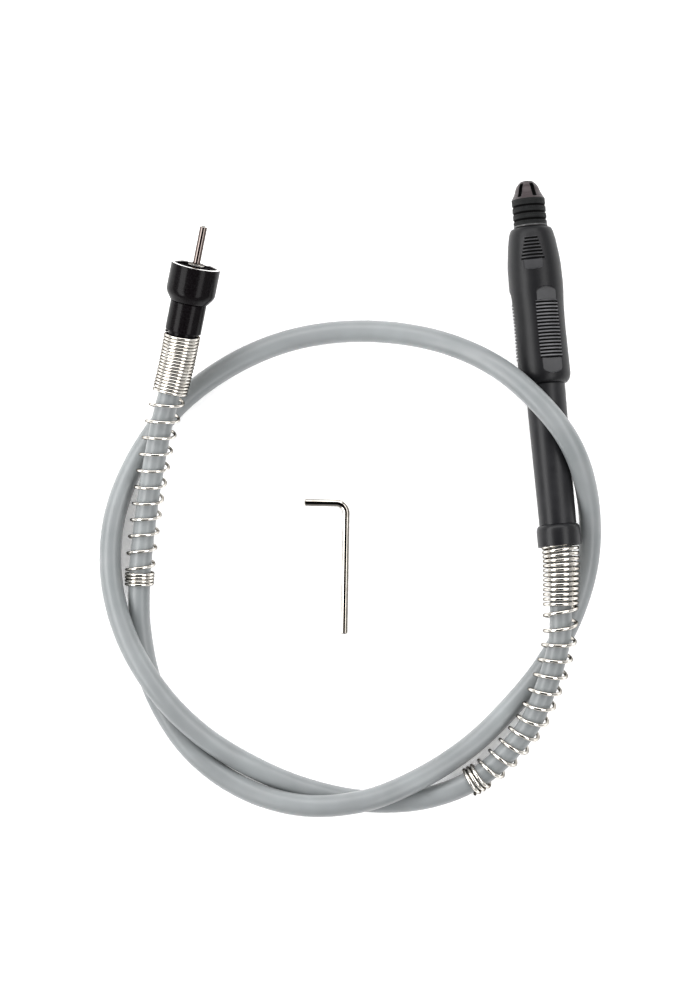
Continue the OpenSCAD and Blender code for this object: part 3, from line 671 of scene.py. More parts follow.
# What each finish is made of, and what that gives the eye.
HOSE_PVC = ExtrudedPvc("plasticised_pvc", "hose_pvc", "#787b7c", roughness=0.34, specular=0.3)
NICKEL_WIRE = PlatedWire("nickel_plated_spring_wire", "nickel_wire", "#dfdbd4", roughness=0.11)
GRIP = SoftTouchRubber("soft_touch_rubber", "grip_rubber", "#121214", roughness=0.38, specular=0.2)
CASE = PowderCoat("satin_black_powder_coat", "case_black", "#161618", roughness=0.36, specular=0.2)
COLLAR = PowderCoat("satin_black_collar_coat", "case_black", "#151517", roughness=0.34, specular=0.2,
                    peel=0.5)
CHUCK = BlackOxide("blackened_tool_steel", "black_oxide_steel", "#232424", metallic=0.2, roughness=0.26,
                   specular=0.5)
COUPLING = GlossLacquer("gloss_black_lacquer", "gloss_black", "#070506", roughness=0.2, specular=0.06)
# The pin's and the key's edge colours are painted dark reflections at their outlines.
PIN = HardenedPin("ground_pin_steel", "pin_steel", "#e9e6e0", roughness=0.08, relief=0.001, edge="#5d5a57")
KEY = WorkedMetal("bright_nickel_key", "key_nickel", "#a19c95", roughness=0.07, other="#86817a", relief=0.001,
                  edge="#1c1918")
SCREW = WorkedMetal("zinc_plated_screw_steel", "screw_steel", "#a9adb0", roughness=0.32)
JAW = WorkedMetal("hardened_jaw_steel", "jaw_steel", "#9b9794", roughness=0.3)
BEARING = WorkedMetal("ground_bearing_steel", "bearing_steel", "#d5d6d6", roughness=0.14)
CAGE = WorkedMetal("pressed_cage_brass", "cage_brass", "#c9a560", roughness=0.3, other="#9a7b40")
BRONZE = WorkedMetal("sintered_bronze", "bush_bronze", "#a97f4a", roughness=0.48, grit=0.3, other="#7a5a34",
                     relief=0.02)
SPRING_STEEL = WorkedMetal("blued_spring_steel", "spring_steel", "#4b5058", roughness=0.35, other="#2e3138")
LINER = WoundSteel("wound_liner_strip", "liner_steel", "#8b8f92", roughness=0.38, pitch=1.6)
CORE = WoundSteel("wound_core_wire", "core_steel", "#6d7174", roughness=0.4, pitch=0.9)
FLOOR = LightTable("white_acrylic_table", "", "#fbfbfb", roughness=0.7)


def dress(obj: bpy.types.Object, finish: Finish) -> None:
    """Gives every face of a piece one finish."""
    obj.data.materials.clear()
    obj.data.materials.append(finish.material())


def settle(obj: bpy.types.Object, finish: Finish, body: str, *nodes: str) -> bpy.types.Object:
    """Dresses a new piece, says what it stands for, and fixes it to its body.

    Args:
        obj: The new piece.
        finish: Its finish.
        body: The CAD body that it moves with.
        *nodes: The CAD nodes that it replaces.

    Returns:
        The piece.
    """
    dress(obj, finish)
    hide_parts(*nodes)
    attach(obj, body)
    log.info("%s: %d vertices, stands for %s on %s", obj.name, len(obj.data.vertices), ", ".join(nodes), body)
    return obj


# ---- The studio ----


@dataclass(frozen=True)
class Studio:
    """Camera straight above the table, soft boxes on both sides and beyond it, and the pale floor."""

    middle: tuple[float, float] = (-9.7, -40.0)
    height: float = 1320.0
    view_tall: float = 440.0
    sensor: float = 36.0
    floor_reach: float = 2500.0
    floor_thick: float = 20.0
    cloth: tuple[tuple[float, str], ...] = ((0.46, "#f4f5f6"), (0.66, "#101011"))
    cloth_strength: float = 0.7

    def camera(self) -> None:
        """Camera that looks straight down, with the lens that fits view_tall in the frame's height."""
        data = bpy.data.cameras.new("table_camera")
        data.sensor_width = self.sensor
        data.lens = self.sensor * self.height / self.view_tall
        data.clip_start, data.clip_end = 0.01, 20.0
        camera = bpy.data.objects.new("table_camera", data)
        camera.location = Vector((*self.middle, self.height)) * MM
        bpy.context.scene.collection.objects.link(camera)
        bpy.context.scene.camera = camera

    def softbox(self, name: str, at: tuple[float, float, float], long: float, deep: float,
                watts: float) -> None:
        """Rectangular area light that faces the middle of the table, with its long side level.

        Args:
            name: Its name.
            at: Where it is, from the middle of the table.
            long: Its level size.
            deep: Its size up its own slope.
            watts: Its power.
        """
        data = bpy.data.lights.new(name, "AREA")
        data.shape, data.size, data.size_y, data.energy = "RECTANGLE", long * MM, deep * MM, watts
        light = bpy.data.objects.new(name, data)
        middle = Vector((*self.middle, 0.0))
        light.location = (middle + Vector(at)) * MM
        light.rotation_euler = Vector(at).to_track_quat("Z", "Y").to_euler()
        bpy.context.scene.collection.objects.link(light)

    def floor(self) -> None:
        """Square board whose top is at z = 0."""
        ring = turned(np.full(2, self.floor_reach), np.array([-self.floor_thick, 0.0]), 4)
        board = grid_mesh("table_board", ring + [*self.middle, 0.0], Ends.CAPPED)
        dress(board, FLOOR)

    def tent(self) -> None:
        """Pale cloth all round the table, which fades to a dark ceiling about 40 degrees above the horizon.

        A stop of the cloth's ramp is the sine of its height above the horizon.
        """
        world = bpy.data.worlds.new("studio_tent")
        world.use_nodes = True
        tree = world.node_tree
        up = add_node(tree, "ShaderNodeSeparateXYZ", None,
                      {0: add_node(tree, "ShaderNodeTexCoord").outputs["Generated"]}).outputs["Z"]
        ramp = add_node(tree, "ShaderNodeValToRGB", None, {"Fac": up})
        for element, (at, colour) in zip(ramp.color_ramp.elements, self.cloth):
            element.position, element.color = at, linear(colour)
        air = tree.nodes["Background"]
        air.inputs["Strength"].default_value = self.cloth_strength
        tree.links.new(ramp.outputs["Color"], air.inputs["Color"])
        bpy.context.scene.world = world

    def build(self) -> None:
        """The whole studio, in the Standard view so that colours come out as they are given."""
        self.camera()
        self.floor()
        self.softbox("left_softbox", at=(-674.0, 60.0, 566.0), long=1500.0, deep=400.0, watts=14.0)
        self.softbox("right_softbox", at=(488.0, -60.0, 671.0), long=1500.0, deep=330.0, watts=8.3)
        self.softbox("far_softbox", at=(0.0, 720.0, 620.0), long=900.0, deep=420.0, watts=5.5)
        self.tent()
        bpy.context.scene.view_settings.view_transform = "Standard"


# ---- The hose and its springs ----


@dataclass
class HoseRoute:
    """The line down the middle of the hose: a smooth curve through chosen points, kept above the table."""

    start: Place
    finish: Place
    diameter: float = 9.6
    into_handpiece: float = 7.0
    steps: int = 24
    points: tuple[tuple[float, float, float], ...] = (
        (81.6, -86, 19.6), (81, -102, 18.3), (75.5, -121.5, 16.2), (66.5, -141, 12),
        (47.5, -160.5, 7.6), (24, -170.5, 5.2), (-3, -172, 4.8), (-29.5, -166.5, 4.8),
        (-53, -156.5, 5.8), (-74.5, -142.5, 11.2), (-92.5, -124, 14.8), (-106.5, -101, 13.6),
        (-114, -75, 8.2), (-113, -48, 5.3), (-103, -22, 4.8), (-86, 1, 4.8),
        (-62, 19, 4.8), (-34, 30.5, 4.9), (-3, 34, 5.9), (28, 29.5, 12),
        (54, 17.5, 22.8), (74.5, -1, 29.4), (87.5, -20, 26.4), (94, -42, 16.3),
        (94.5, -66, 7.8), (88, -90, 5.2), (76, -112, 4.8), (60, -131.5, 4.9),
        (42, -148.5, 5.9), (20, -162, 10.8), (-4, -171, 14.9), (-31, -173, 12.8),
        (-57.5, -165.5, 7), (-80, -148.5, 5.1), (-95.5, -123.5, 4.8), (-101.5, -98, 5.2),
        (-101.8, -74, 7.4), (-99, -48, 9.7), (-95.5, -27, 14.3), (-91.2, -6, 18),
    )
    fine: Array = field(init=False)
    along: Array = field(init=False)

    def __post_init__(self) -> None:
        """Works the curve out: each stretch is a cubic whose slopes come from the points round it."""
        first, last = np.array(self.start.origin), np.array(self.finish.origin)
        knots = np.concatenate([
            [first + self.into_handpiece * self.start.axis(), first - 6 * self.start.axis()],
            np.array(self.points, float),
            [last - 16 * self.finish.axis(), last + 2 * self.finish.axis()]])
        k = np.concatenate([[2 * knots[0] - knots[1]], knots, [2 * knots[-1] - knots[-2]]])
        a, b, c, d = (k[i : len(knots) - 1 + i, None] for i in range(4))
        t = (np.arange(self.steps) / self.steps)[None, :, None]
        squared, cubed = 2 * a - 5 * b + 4 * c - d, 3 * b - a - 3 * c + d
        curve = 0.5 * (2 * b + (c - a) * t + squared * t**2 + cubed * t**3)
        self.fine = np.concatenate([curve.reshape(-1, 3), knots[-1:]])
        self.fine[:, 2] = np.maximum(self.fine[:, 2], self.diameter / 2)
        self.along = np.concatenate([[0.0], np.cumsum(np.linalg.norm(np.diff(self.fine, axis=0), axis=1))])

    @property
    def length(self) -> float:
        """Length of the whole line."""
        return float(self.along[-1])

    def at(self, s: Array) -> Array:
        """Points of the line at those lengths from its start."""
        return np.stack([np.interp(s, self.along, self.fine[:, i]) for i in range(3)], axis=-1)

    def frames(self, s: Array) -> tuple[Array, Array, Array]:
        """Tangent, level normal and second normal of the line at those lengths.

        The tangent is taken over 2 mm, the level normal is +Z x tangent, and the second is tangent x normal.
        """
        tangent = unit(self.at(s + 1.0) - self.at(s - 1.0))
        across = unit(np.cross([0.0, 0.0, 1.0], tangent))
        return tangent, across, np.cross(tangent, across)


class Way(Enum):
    """Which way a spring is wound from its rigid end."""

    ONWARD = 1
    BACKWARD = -1


@dataclass(frozen=True)
class WoundSpring:
    """A strain relief: close coils at the rigid end, open ones along the hose, close ones at the free end."""

    name: str
    way: Way
    start: float
    wire: float
    rigid_d: float
    free_d: float
    closed: int
    close_pitch: float
    opened: int
    open_pitch: float
    ending: int
    steps_a_turn: int = 48
    wire_sides: int = 14

    def mesh(self, route: HoseRoute) -> bpy.types.Object:
        """The wire: a round section carried along a helix that is wound round the route.

        The helix's point at turn n is p(s) + r(s) (cos 2 pi n N + sin 2 pi n B), where s grows by the pitch
        of the coils at that turn, the pitch changing over half a turn, and r narrows evenly to the free end.

        Args:
            route: The line that it is wound round.

        Returns:
            The wire's object.
        """
        turns = self.closed + self.opened + self.ending
        turn = np.linspace(0.0, turns, turns * self.steps_a_turn + 1)
        opening = smoothstep(self.closed - 0.25, self.closed + 0.25, turn)
        closing = smoothstep(turns - self.ending - 0.25, turns - self.ending + 0.25, turn)
        pitch = self.close_pitch + (self.open_pitch - self.close_pitch) * (opening - closing)
        steps = np.diff(turn) * (pitch[1:] + pitch[:-1]) / 2
        s = np.concatenate([[0.0], np.cumsum(steps)])
        radius = (self.rigid_d + (self.free_d - self.rigid_d) * s / s[-1] - self.wire) / 2
        where = self.start + self.way.value * s
        _, n, b = route.frames(where)
        angle = (self.way.value * 2 * math.pi * turn)[:, None]
        out = np.cos(angle) * n + np.sin(angle) * b
        helix = route.at(where) + radius[:, None] * out
        heading = unit(np.gradient(helix, axis=0))
        side = unit(np.cross(heading, out))
        section = np.full(len(helix), self.wire / 2)
        section[[0, -1]] *= 0.55
        section[[1, -2]] *= 0.9
        wire = swept(helix, np.cross(side, heading), side, section, self.wire_sides)
        return grid_mesh(self.name, wire, Ends.CAPPED)


@dataclass
class FlexShaft:
    """The hose with its sheath and the two strain reliefs."""

    route: HoseRoute
    bore: float = 6.8
    ring_step: float = 3.0
    columns: int = 40

    def sheath(self) -> bpy.types.Object:
        """The sheath: an outer and an inner tube round the route, joined at the two mouths."""
        count = int(self.route.length / self.ring_step)
        s = np.linspace(0.0, self.route.length, count)
        _, n, b = self.route.frames(np.clip(s, 1.0, self.route.length - 1.0))
        middle = self.route.at(s)
        outer = swept(middle, n, b, np.full(count, self.route.diameter / 2), self.columns)
        inner = swept(middle, n, b, np.full(count, self.bore / 2), self.columns)
        piece = grid_mesh("sheath", np.concatenate([outer, inner[::-1]]), Ends.JOINED)
        return settle(piece, HOSE_PVC, "handpiece", "hose_sheath")

    def springs(self) -> list[bpy.types.Object]:
        """Both strain reliefs."""
        front = WoundSpring(
            name="front_strain_relief", way=Way.ONWARD, start=self.route.into_handpiece - 3.0, wire=1.6,
            rigid_d=16.3, free_d=13.3, closed=14, close_pitch=2.1, opened=12, open_pitch=7.15, ending=3)
        drive = WoundSpring(
            name="drive_strain_relief", way=Way.BACKWARD, start=self.route.length - 2.9, wire=1.3,
            rigid_d=16.0, free_d=12.9, closed=18, close_pitch=1.45, opened=11, open_pitch=7.3, ending=4)
        return [settle(spring.mesh(self.route), NICKEL_WIRE, "handpiece", node)
                for spring, node in ((front, "handpiece_spring"), (drive, "drive_spring"))]

    def build(self) -> None:
        """The whole flexible shaft: sheath, springs and the finishes of liner and core, with its length in the
        log.
        """
        sheath, springs = self.sheath(), self.springs()
        nodes = bpy.data.objects
        dress(nodes["hose_liner"], LINER)
        dress(nodes["flex_core"], CORE)
        log.info("hose: %.1f mm long", self.route.length)


# ---- The handpiece ----


@dataclass(frozen=True)
class RibPanel:
    """A finger panel of the grip: grooves across it, and flats where it runs in and out."""

    angle: float
    grooves_from: float
    count: int
    width_front: float
    width_back: float
    flat_before: float
    flat_after: float
    flat_depth: float
    flat_half: float
    run_out: float
    rib_paleness: float
    pitch: float = 1.5
    groove_half: float = 0.46
    groove_depth: float = 0.8
    edge: float = 0.12

    @property
    def grooves_to(self) -> float:
        """Where the last groove's rib would start."""
        return self.grooves_from + (self.count - 0.3) * self.pitch

    def centres(self) -> Array:
        """Distances of the grooves' middles from the grip's front."""
        return self.grooves_from + (np.arange(self.count) + 0.5) * self.pitch


@dataclass
class Handpiece:
    """Chuck, grip, case tube and rear collar, in the handpiece's frame with +Z towards the nose."""

    place: Place
    length: float = 160.0
    chuck_d: float = 14.7
    knurl_len: float = 12.2
    cone_len: float = 8.1
    nose_d: float = 5.5
    nose_bore_d: float = 4.1
    jaw_room_d: float = 12.0
    jaw_room: tuple[float, float] = (146.7, 149.15)
    spindle_bore: float = 8.1
    slot_turn: float = 6.5
    slot_half: float = 0.88
    knurl_depth: float = 0.22
    band_groove: float = 0.42
    grip_d: float = 23.5
    grip_nose_d: float = 18.6
    grip_len: float = 68.7
    tail_len: float = 5.0
    tube_front_d: float = 17.4
    tube_rear_d: float = 16.1
    tube_seat_d: float = 15.2
    tube_from: float = 5.2
    tube_steps: tuple[float, float] = (22.1, 74.5)
    tube_bore: float = 10.5
    bearing_bore: float = 13.04
    collar_d: float = 19.0
    collar_len: float = 9.3
    shoulder_len: float = 2.8
    spring_bore: float = 16.9
    ferrule_bore: float = 13.0
    screw_z: float = 7.1
    screw_bore: float = 3.1
    columns: int = 320

    @property
    def chuck_back(self) -> float:
        """Rear face of the chuck."""
        return self.length - self.cone_len - self.knurl_len

    @property
    def grip_front(self) -> float:
        """Front face of the grip, 0.3 behind the chuck."""
        return self.chuck_back - 0.3

    def panels(self) -> list[RibPanel]:
        """The three long panels and then the three short ones, at thirds of a turn."""
        long_panel = RibPanel(
            angle=19.0, grooves_from=33.1, count=17, width_front=10.3, width_back=10.3, flat_before=6.0,
            flat_after=6.7, flat_depth=0.95, flat_half=4.6, run_out=2.6, rib_paleness=1.0)
        short_panel = RibPanel(
            angle=-5.0, grooves_from=4.8, count=7, width_front=5.2, width_back=10.3, flat_before=0.0,
            flat_after=4.4, flat_depth=0.8, flat_half=4.2, run_out=0.8, rib_paleness=0.2)
        return [replace(panel, angle=panel.angle + third)
                for panel in (long_panel, short_panel) for third in (0.0, 120.0, 240.0)]

    def grip(self) -> bpy.types.Object:
        """The grip: its profile turned about the axis, less the panels' flats and grooves.

        share is how far the profile has grown from the nose's width to the full one at each of behind_at.
        """
        front = self.grip_front
        behind_at = np.array([0.0, 0.35, 1.1, 2.3, 4.4, 8.7, 13.0, 16.5, 20.0, 28.0, 31.0, self.grip_len])
        share = np.array([-0.65, -0.33, -0.08, 0.12, 0.33, 0.61, 0.82, 0.96, 1.0, 1.0, 0.918, 0.918])
        panels = self.panels()
        edges = np.array([-0.46, -0.34, 0.34, 0.46, 0.6])
        grooves = (np.concatenate([p.centres() for p in (panels[0], panels[3])])[:, None] + edges).reshape(-1)
        stretches = ((0.0, 4.6, 28), (14.9, 19.6, 24), (19.8, 26.4, 8), (26.6, 33.1, 34), (58.2, 65.2, 36))
        runs = [np.linspace(*stretch) for stretch in stretches]
        tail = self.grip_len - self.tail_len * (1 - np.cos(np.linspace(0.0, math.pi / 2, 12)))
        behind = np.unique(np.round(np.concatenate([grooves, *runs, tail, [0.0, self.grip_len]]), 3))
        swell = smooth_curve(behind_at, share, behind)
        plain = (self.grip_nose_d + (self.grip_d - self.grip_nose_d) * swell) / 2
        tail_from, tube_r = self.grip_len - self.tail_len, self.tube_front_d / 2 + 0.15
        drop = np.sqrt(np.clip(1 - ((behind - tail_from) / self.tail_len) ** 2, 0, 1))
        plain = np.where(behind > tail_from, tube_r + (plain - tube_r) * drop, plain)
        angle = np.arange(self.columns) * (2 * math.pi / self.columns)
        radius = np.repeat(plain[:, None], self.columns, axis=1)
        relief = np.full(radius.shape, 0.5)
        for panel in panels:
            radius, relief = self.cut_panel(panel, behind, angle, plain, radius, relief)
        wall = np.array([[self.tube_front_d / 2 + 0.1, front - self.grip_len],
                         [self.tube_seat_d / 2 + 0.05, front - self.grip_len],
                         [self.tube_seat_d / 2 + 0.05, front - 2.6], [4.7, front - 2.6], [4.7, front]])
        inner = turned(wall[:, 0], wall[:, 1], self.columns)
        outer = turned(radius, front - behind, self.columns)
        piece = grid_mesh("grip", self.place.to_world(np.concatenate([outer, inner])), Ends.JOINED, 40.0)
        paint(piece, "relief", np.concatenate([relief, np.full(inner.shape[:2], 0.5)]))
        return settle(piece, GRIP, "handpiece", "grip_sleeve")

    def cut_panel(self, panel: RibPanel, behind: Array, angle: Array, plain: Array, radius: Array,
                  relief: Array) -> tuple[Array, Array]:
        """One panel's flats and grooves.

        A flat is a plane: its radius at an angle t from the panel's middle is d / cos t, where d is the
        plane's distance from the axis. Its far end is an elliptic arch. A groove takes its depth off the
        radius.

        Args:
            panel: The panel.
            behind: Each row's distance behind the front.
            angle: Each column's angle.
            plain: Each row's uncut radius.
            radius: The grid of radii so far.
            relief: The grid of relief marks so far.

        Returns:
            The new radii and relief marks.
        """
        from_middle = (angle - math.radians(panel.angle - 90) + math.pi) % (2 * math.pi) - math.pi
        x = np.sin(from_middle)[None, :] * plain[:, None]
        facing = np.cos(from_middle)[None, :] > 0.3
        t = np.clip((behind - panel.grooves_from) / (panel.grooves_to - panel.grooves_from), 0, 1)
        half = (panel.width_front + (panel.width_back - panel.width_front) * t)[:, None] / 2
        across = np.clip((half - np.abs(x)) / panel.edge, 0, 1)
        nearest = np.abs(behind[:, None] - panel.centres()).min(axis=1)
        groove = np.clip((panel.groove_half - nearest) / panel.edge, 0, 1)[:, None] * across * facing
        before = (behind > panel.grooves_from - panel.flat_before) & (behind < panel.grooves_from)
        after = (behind > panel.grooves_to) & (behind < panel.grooves_to + panel.flat_after)
        into = np.where(before, behind - (panel.grooves_from - panel.flat_before),
                        panel.grooves_to + panel.flat_after - behind)
        arch = np.sqrt(np.clip(1 - (1 - np.clip(into / panel.run_out, 0, 1)) ** 2, 0, 1))
        inside = np.clip((panel.flat_half * arch[:, None] - np.abs(x)) / 0.3, 0, 1)
        plane = (plain - panel.flat_depth)[:, None] / np.maximum(np.cos(from_middle), 0.3)[None, :]
        flat = (before | after)[:, None] & facing & (plane < radius)
        radius = np.where(flat, radius + (plane - radius) * inside, radius) - panel.groove_depth * groove
        ribs = (behind > panel.grooves_from) & (behind < panel.grooves_to)
        rib = ribs[:, None] * across * facing
        # Painted shade: a groove's relief falls to 0, which the finish shows near black.
        relief = relief + 0.5 * panel.rib_paleness * rib * (1 - groove) * (0.5 - relief < 0.01) - groove * relief
        # Painted highlight: a flat's relief rises to 0.66, which the finish shows paler.
        relief = np.where(flat, np.maximum(relief, 0.5 + 0.16 * inside), relief)
        return radius, np.clip(relief, 0, 1)

    def tube(self) -> bpy.types.Object:
        """The case tube: its outline with rounded corners, turned about the axis."""
        back, end = self.grip_front - self.grip_len - 0.1, self.grip_front - 2.9
        spigot = self.tube_seat_d / 2 - 0.1
        ferrule_to, bearings_to = self.tube_steps
        outline = soften([
            (self.ferrule_bore / 2, self.tube_from), (spigot, self.tube_from), (spigot, self.collar_len),
            (self.tube_rear_d / 2, self.collar_len), (self.tube_front_d / 2, back),
            (self.tube_seat_d / 2, back), (self.tube_seat_d / 2, end), (self.bearing_bore / 2, end),
            (self.bearing_bore / 2, bearings_to), (self.tube_bore / 2, bearings_to),
            (self.tube_bore / 2, ferrule_to), (self.ferrule_bore / 2, ferrule_to)], 0.25)
        outline = fill_in(outline, 3.0)
        wall = turned(outline[:, 0], outline[:, 1], 128)
        piece = grid_mesh("case_tube", self.place.to_world(wall), Ends.JOINED)
        return settle(piece, CASE, "handpiece", "handpiece_tube")

    def collar(self) -> bpy.types.Object:
        """The rear collar: a quarter-ellipse shoulder, and its set screw's hole on the underside."""
        r, tube_r, shoulder = self.collar_d / 2, self.tube_rear_d / 2, self.shoulder_len
        outline = soften([
            (self.spring_bore / 2, 0.0), (r, 0.0),
            *((tube_r + (r - tube_r) * math.cos(t), self.collar_len + shoulder * (math.sin(t) - 1.0))
              for t in np.linspace(0.0, math.pi / 2, 8)), (self.tube_seat_d / 2, self.collar_len),
            (self.tube_seat_d / 2, 5.1), (self.ferrule_bore / 2, 5.1), (self.ferrule_bore / 2, 4.0),
            (self.spring_bore / 2, 4.0)], [0.2, 1.1] + [0.1] * 13, 5)
        ring = turned(outline[:, 0], outline[:, 1], 128)
        piece = grid_mesh("collar", self.place.to_world(ring), Ends.JOINED)
        bore_out(piece, self.place, self.screw_z, self.screw_bore)
        return settle(piece, COLLAR, "handpiece", "rear_collar")

    def chuck(self) -> bpy.types.Object:
        """The chuck body: knurled bands, turned grooves, and a cone with slots milled along it.

        The knurl is the product of two triangle waves that cross at 45 degrees, and a slot lowers the radius
        where the distance round the cone from its middle is under half its width.
        """
        columns, r, back = 400, self.chuck_d / 2, self.chuck_back
        cone_z, nose_r = self.length - self.cone_len, self.nose_d / 2
        bands = np.linspace(back, cone_z, 75)
        cone = np.linspace(cone_z + 0.08, self.length - 0.12, 42)
        z = np.concatenate([[back], bands[1:-1], [cone_z], cone, [self.length]])
        on_cone = np.clip((z - cone_z) / self.cone_len, 0, 1)
        straight = r + (nose_r - r) * on_cone
        bulge_at, bulge_r = np.array([0.0, 0.33, 0.8, 1.0]), np.array([r, r - 1.38, nose_r + 1.56, nose_r])
        bulged = smooth_curve(bulge_at, bulge_r, on_cone)
        plain = np.where(z <= cone_z, r, bulged)
        plain[[0, -1]] -= [0.35, 0.15]
        step = self.knurl_len / 4
        in_band = np.abs((z - back) % step - step / 2)
        between = (z < cone_z - 0.6) & (z > back + 0.6)
        groove = np.where(between, smoothstep(step / 2 - 0.56, step / 2 - 0.36, in_band), 0)
        # Painted highlight: the rear rim's tone is raised.
        rim = (z < back + 0.8).astype(float)
        angle = np.arange(columns) * (2 * math.pi / columns)
        pitch_round = 2 * math.pi * r / 52
        u = (angle * r)[None, :] / pitch_round
        v = (z[:, None] - back) / pitch_round
        saw = np.abs(((u + v) % 1) * 2 - 1) * np.abs(((u - v) % 1) * 2 - 1)
        banded = ((z < cone_z - 0.12) & (z > back + 0.8)).astype(float) * (1 - groove)
        knurl = self.knurl_depth * (1 - np.sqrt(saw)) * banded[:, None]
        turned_by = math.radians(self.slot_turn)
        from_slot = np.abs((angle + turned_by + math.pi / 6) % (math.pi / 3) - math.pi / 6)
        around = from_slot[None, :] * plain[:, None]
        slot_in = np.clip((self.slot_half - around) / 0.12, 0, 1)
        # Painted shade that reaches 0.14 past each slot's edge.
        slot_shade = np.clip((self.slot_half + 0.14 - around) / 0.14, 0, 1)
        slot_long = np.clip((z - cone_z - 0.7) / 0.25, 0, 1) * np.clip((self.length - 1.1 - z) / 0.25, 0, 1)
        slot = slot_in * slot_long[:, None]
        slot_depth = plain - straight + (0.75 - 0.35 * on_cone) / 0.87
        radius = plain[:, None] - self.band_groove * groove[:, None] - knurl - slot_depth[:, None] * slot
        # Painted shade in the tone mark: grooves, knurl hollows and slots are darkened, and the rear rim is
        # lifted as a painted highlight.
        tone = np.where(z > cone_z, 1.0, 0.5) - 0.5 * groove + 0.25 * rim
        tone = tone[:, None] - 0.35 * (knurl > 0.1)
        tone = np.clip(tone * (1 - slot_shade * slot_long[:, None]), 0, 1)
        plate_z, taper_z = self.jaw_room
        bore = np.array([
            [self.nose_bore_d / 2, self.length], [self.jaw_room_d / 2, taper_z],
            [self.jaw_room_d / 2, plate_z], [self.spindle_bore / 2, plate_z], [self.spindle_bore / 2, back]])
        inner = turned(bore[:, 0], bore[:, 1], columns)
        grid = np.concatenate([turned(radius, z, columns), inner])
        piece = grid_mesh("chuck", self.place.to_world(grid), Ends.JOINED, 45.0)
        paint(piece, "tone", np.concatenate([tone, np.full(inner.shape[:2], 0.4)]))
        return settle(piece, CHUCK, "chuck", "chuck_body")

    def build(self) -> None:
        """Every piece of the handpiece that shows, and the finishes of those inside."""
        self.chuck()
        self.grip()
        self.tube()
        self.collar()
        inside = {
            JAW: ["jaw_1", "jaw_2", "jaw_3", "jaw_plate"],
            BEARING: ["spindle", "front_bearing_outer", "front_bearing_inner", "rear_bearing_outer",
                      "rear_bearing_inner", "bearing_spacer"],
            CAGE: ["front_bearing_balls", "rear_bearing_balls"],
            SPRING_STEEL: ["retaining_ring"],
            SCREW: ["collar_screw", "hose_ferrule", "core_tip"],
        }
        for finish, names in inside.items():
            for name in names:
                dress(bpy.data.objects[name], finish)
                log.info("%s: CAD node in %s", name, finish.name)


# ---- The drive end ----


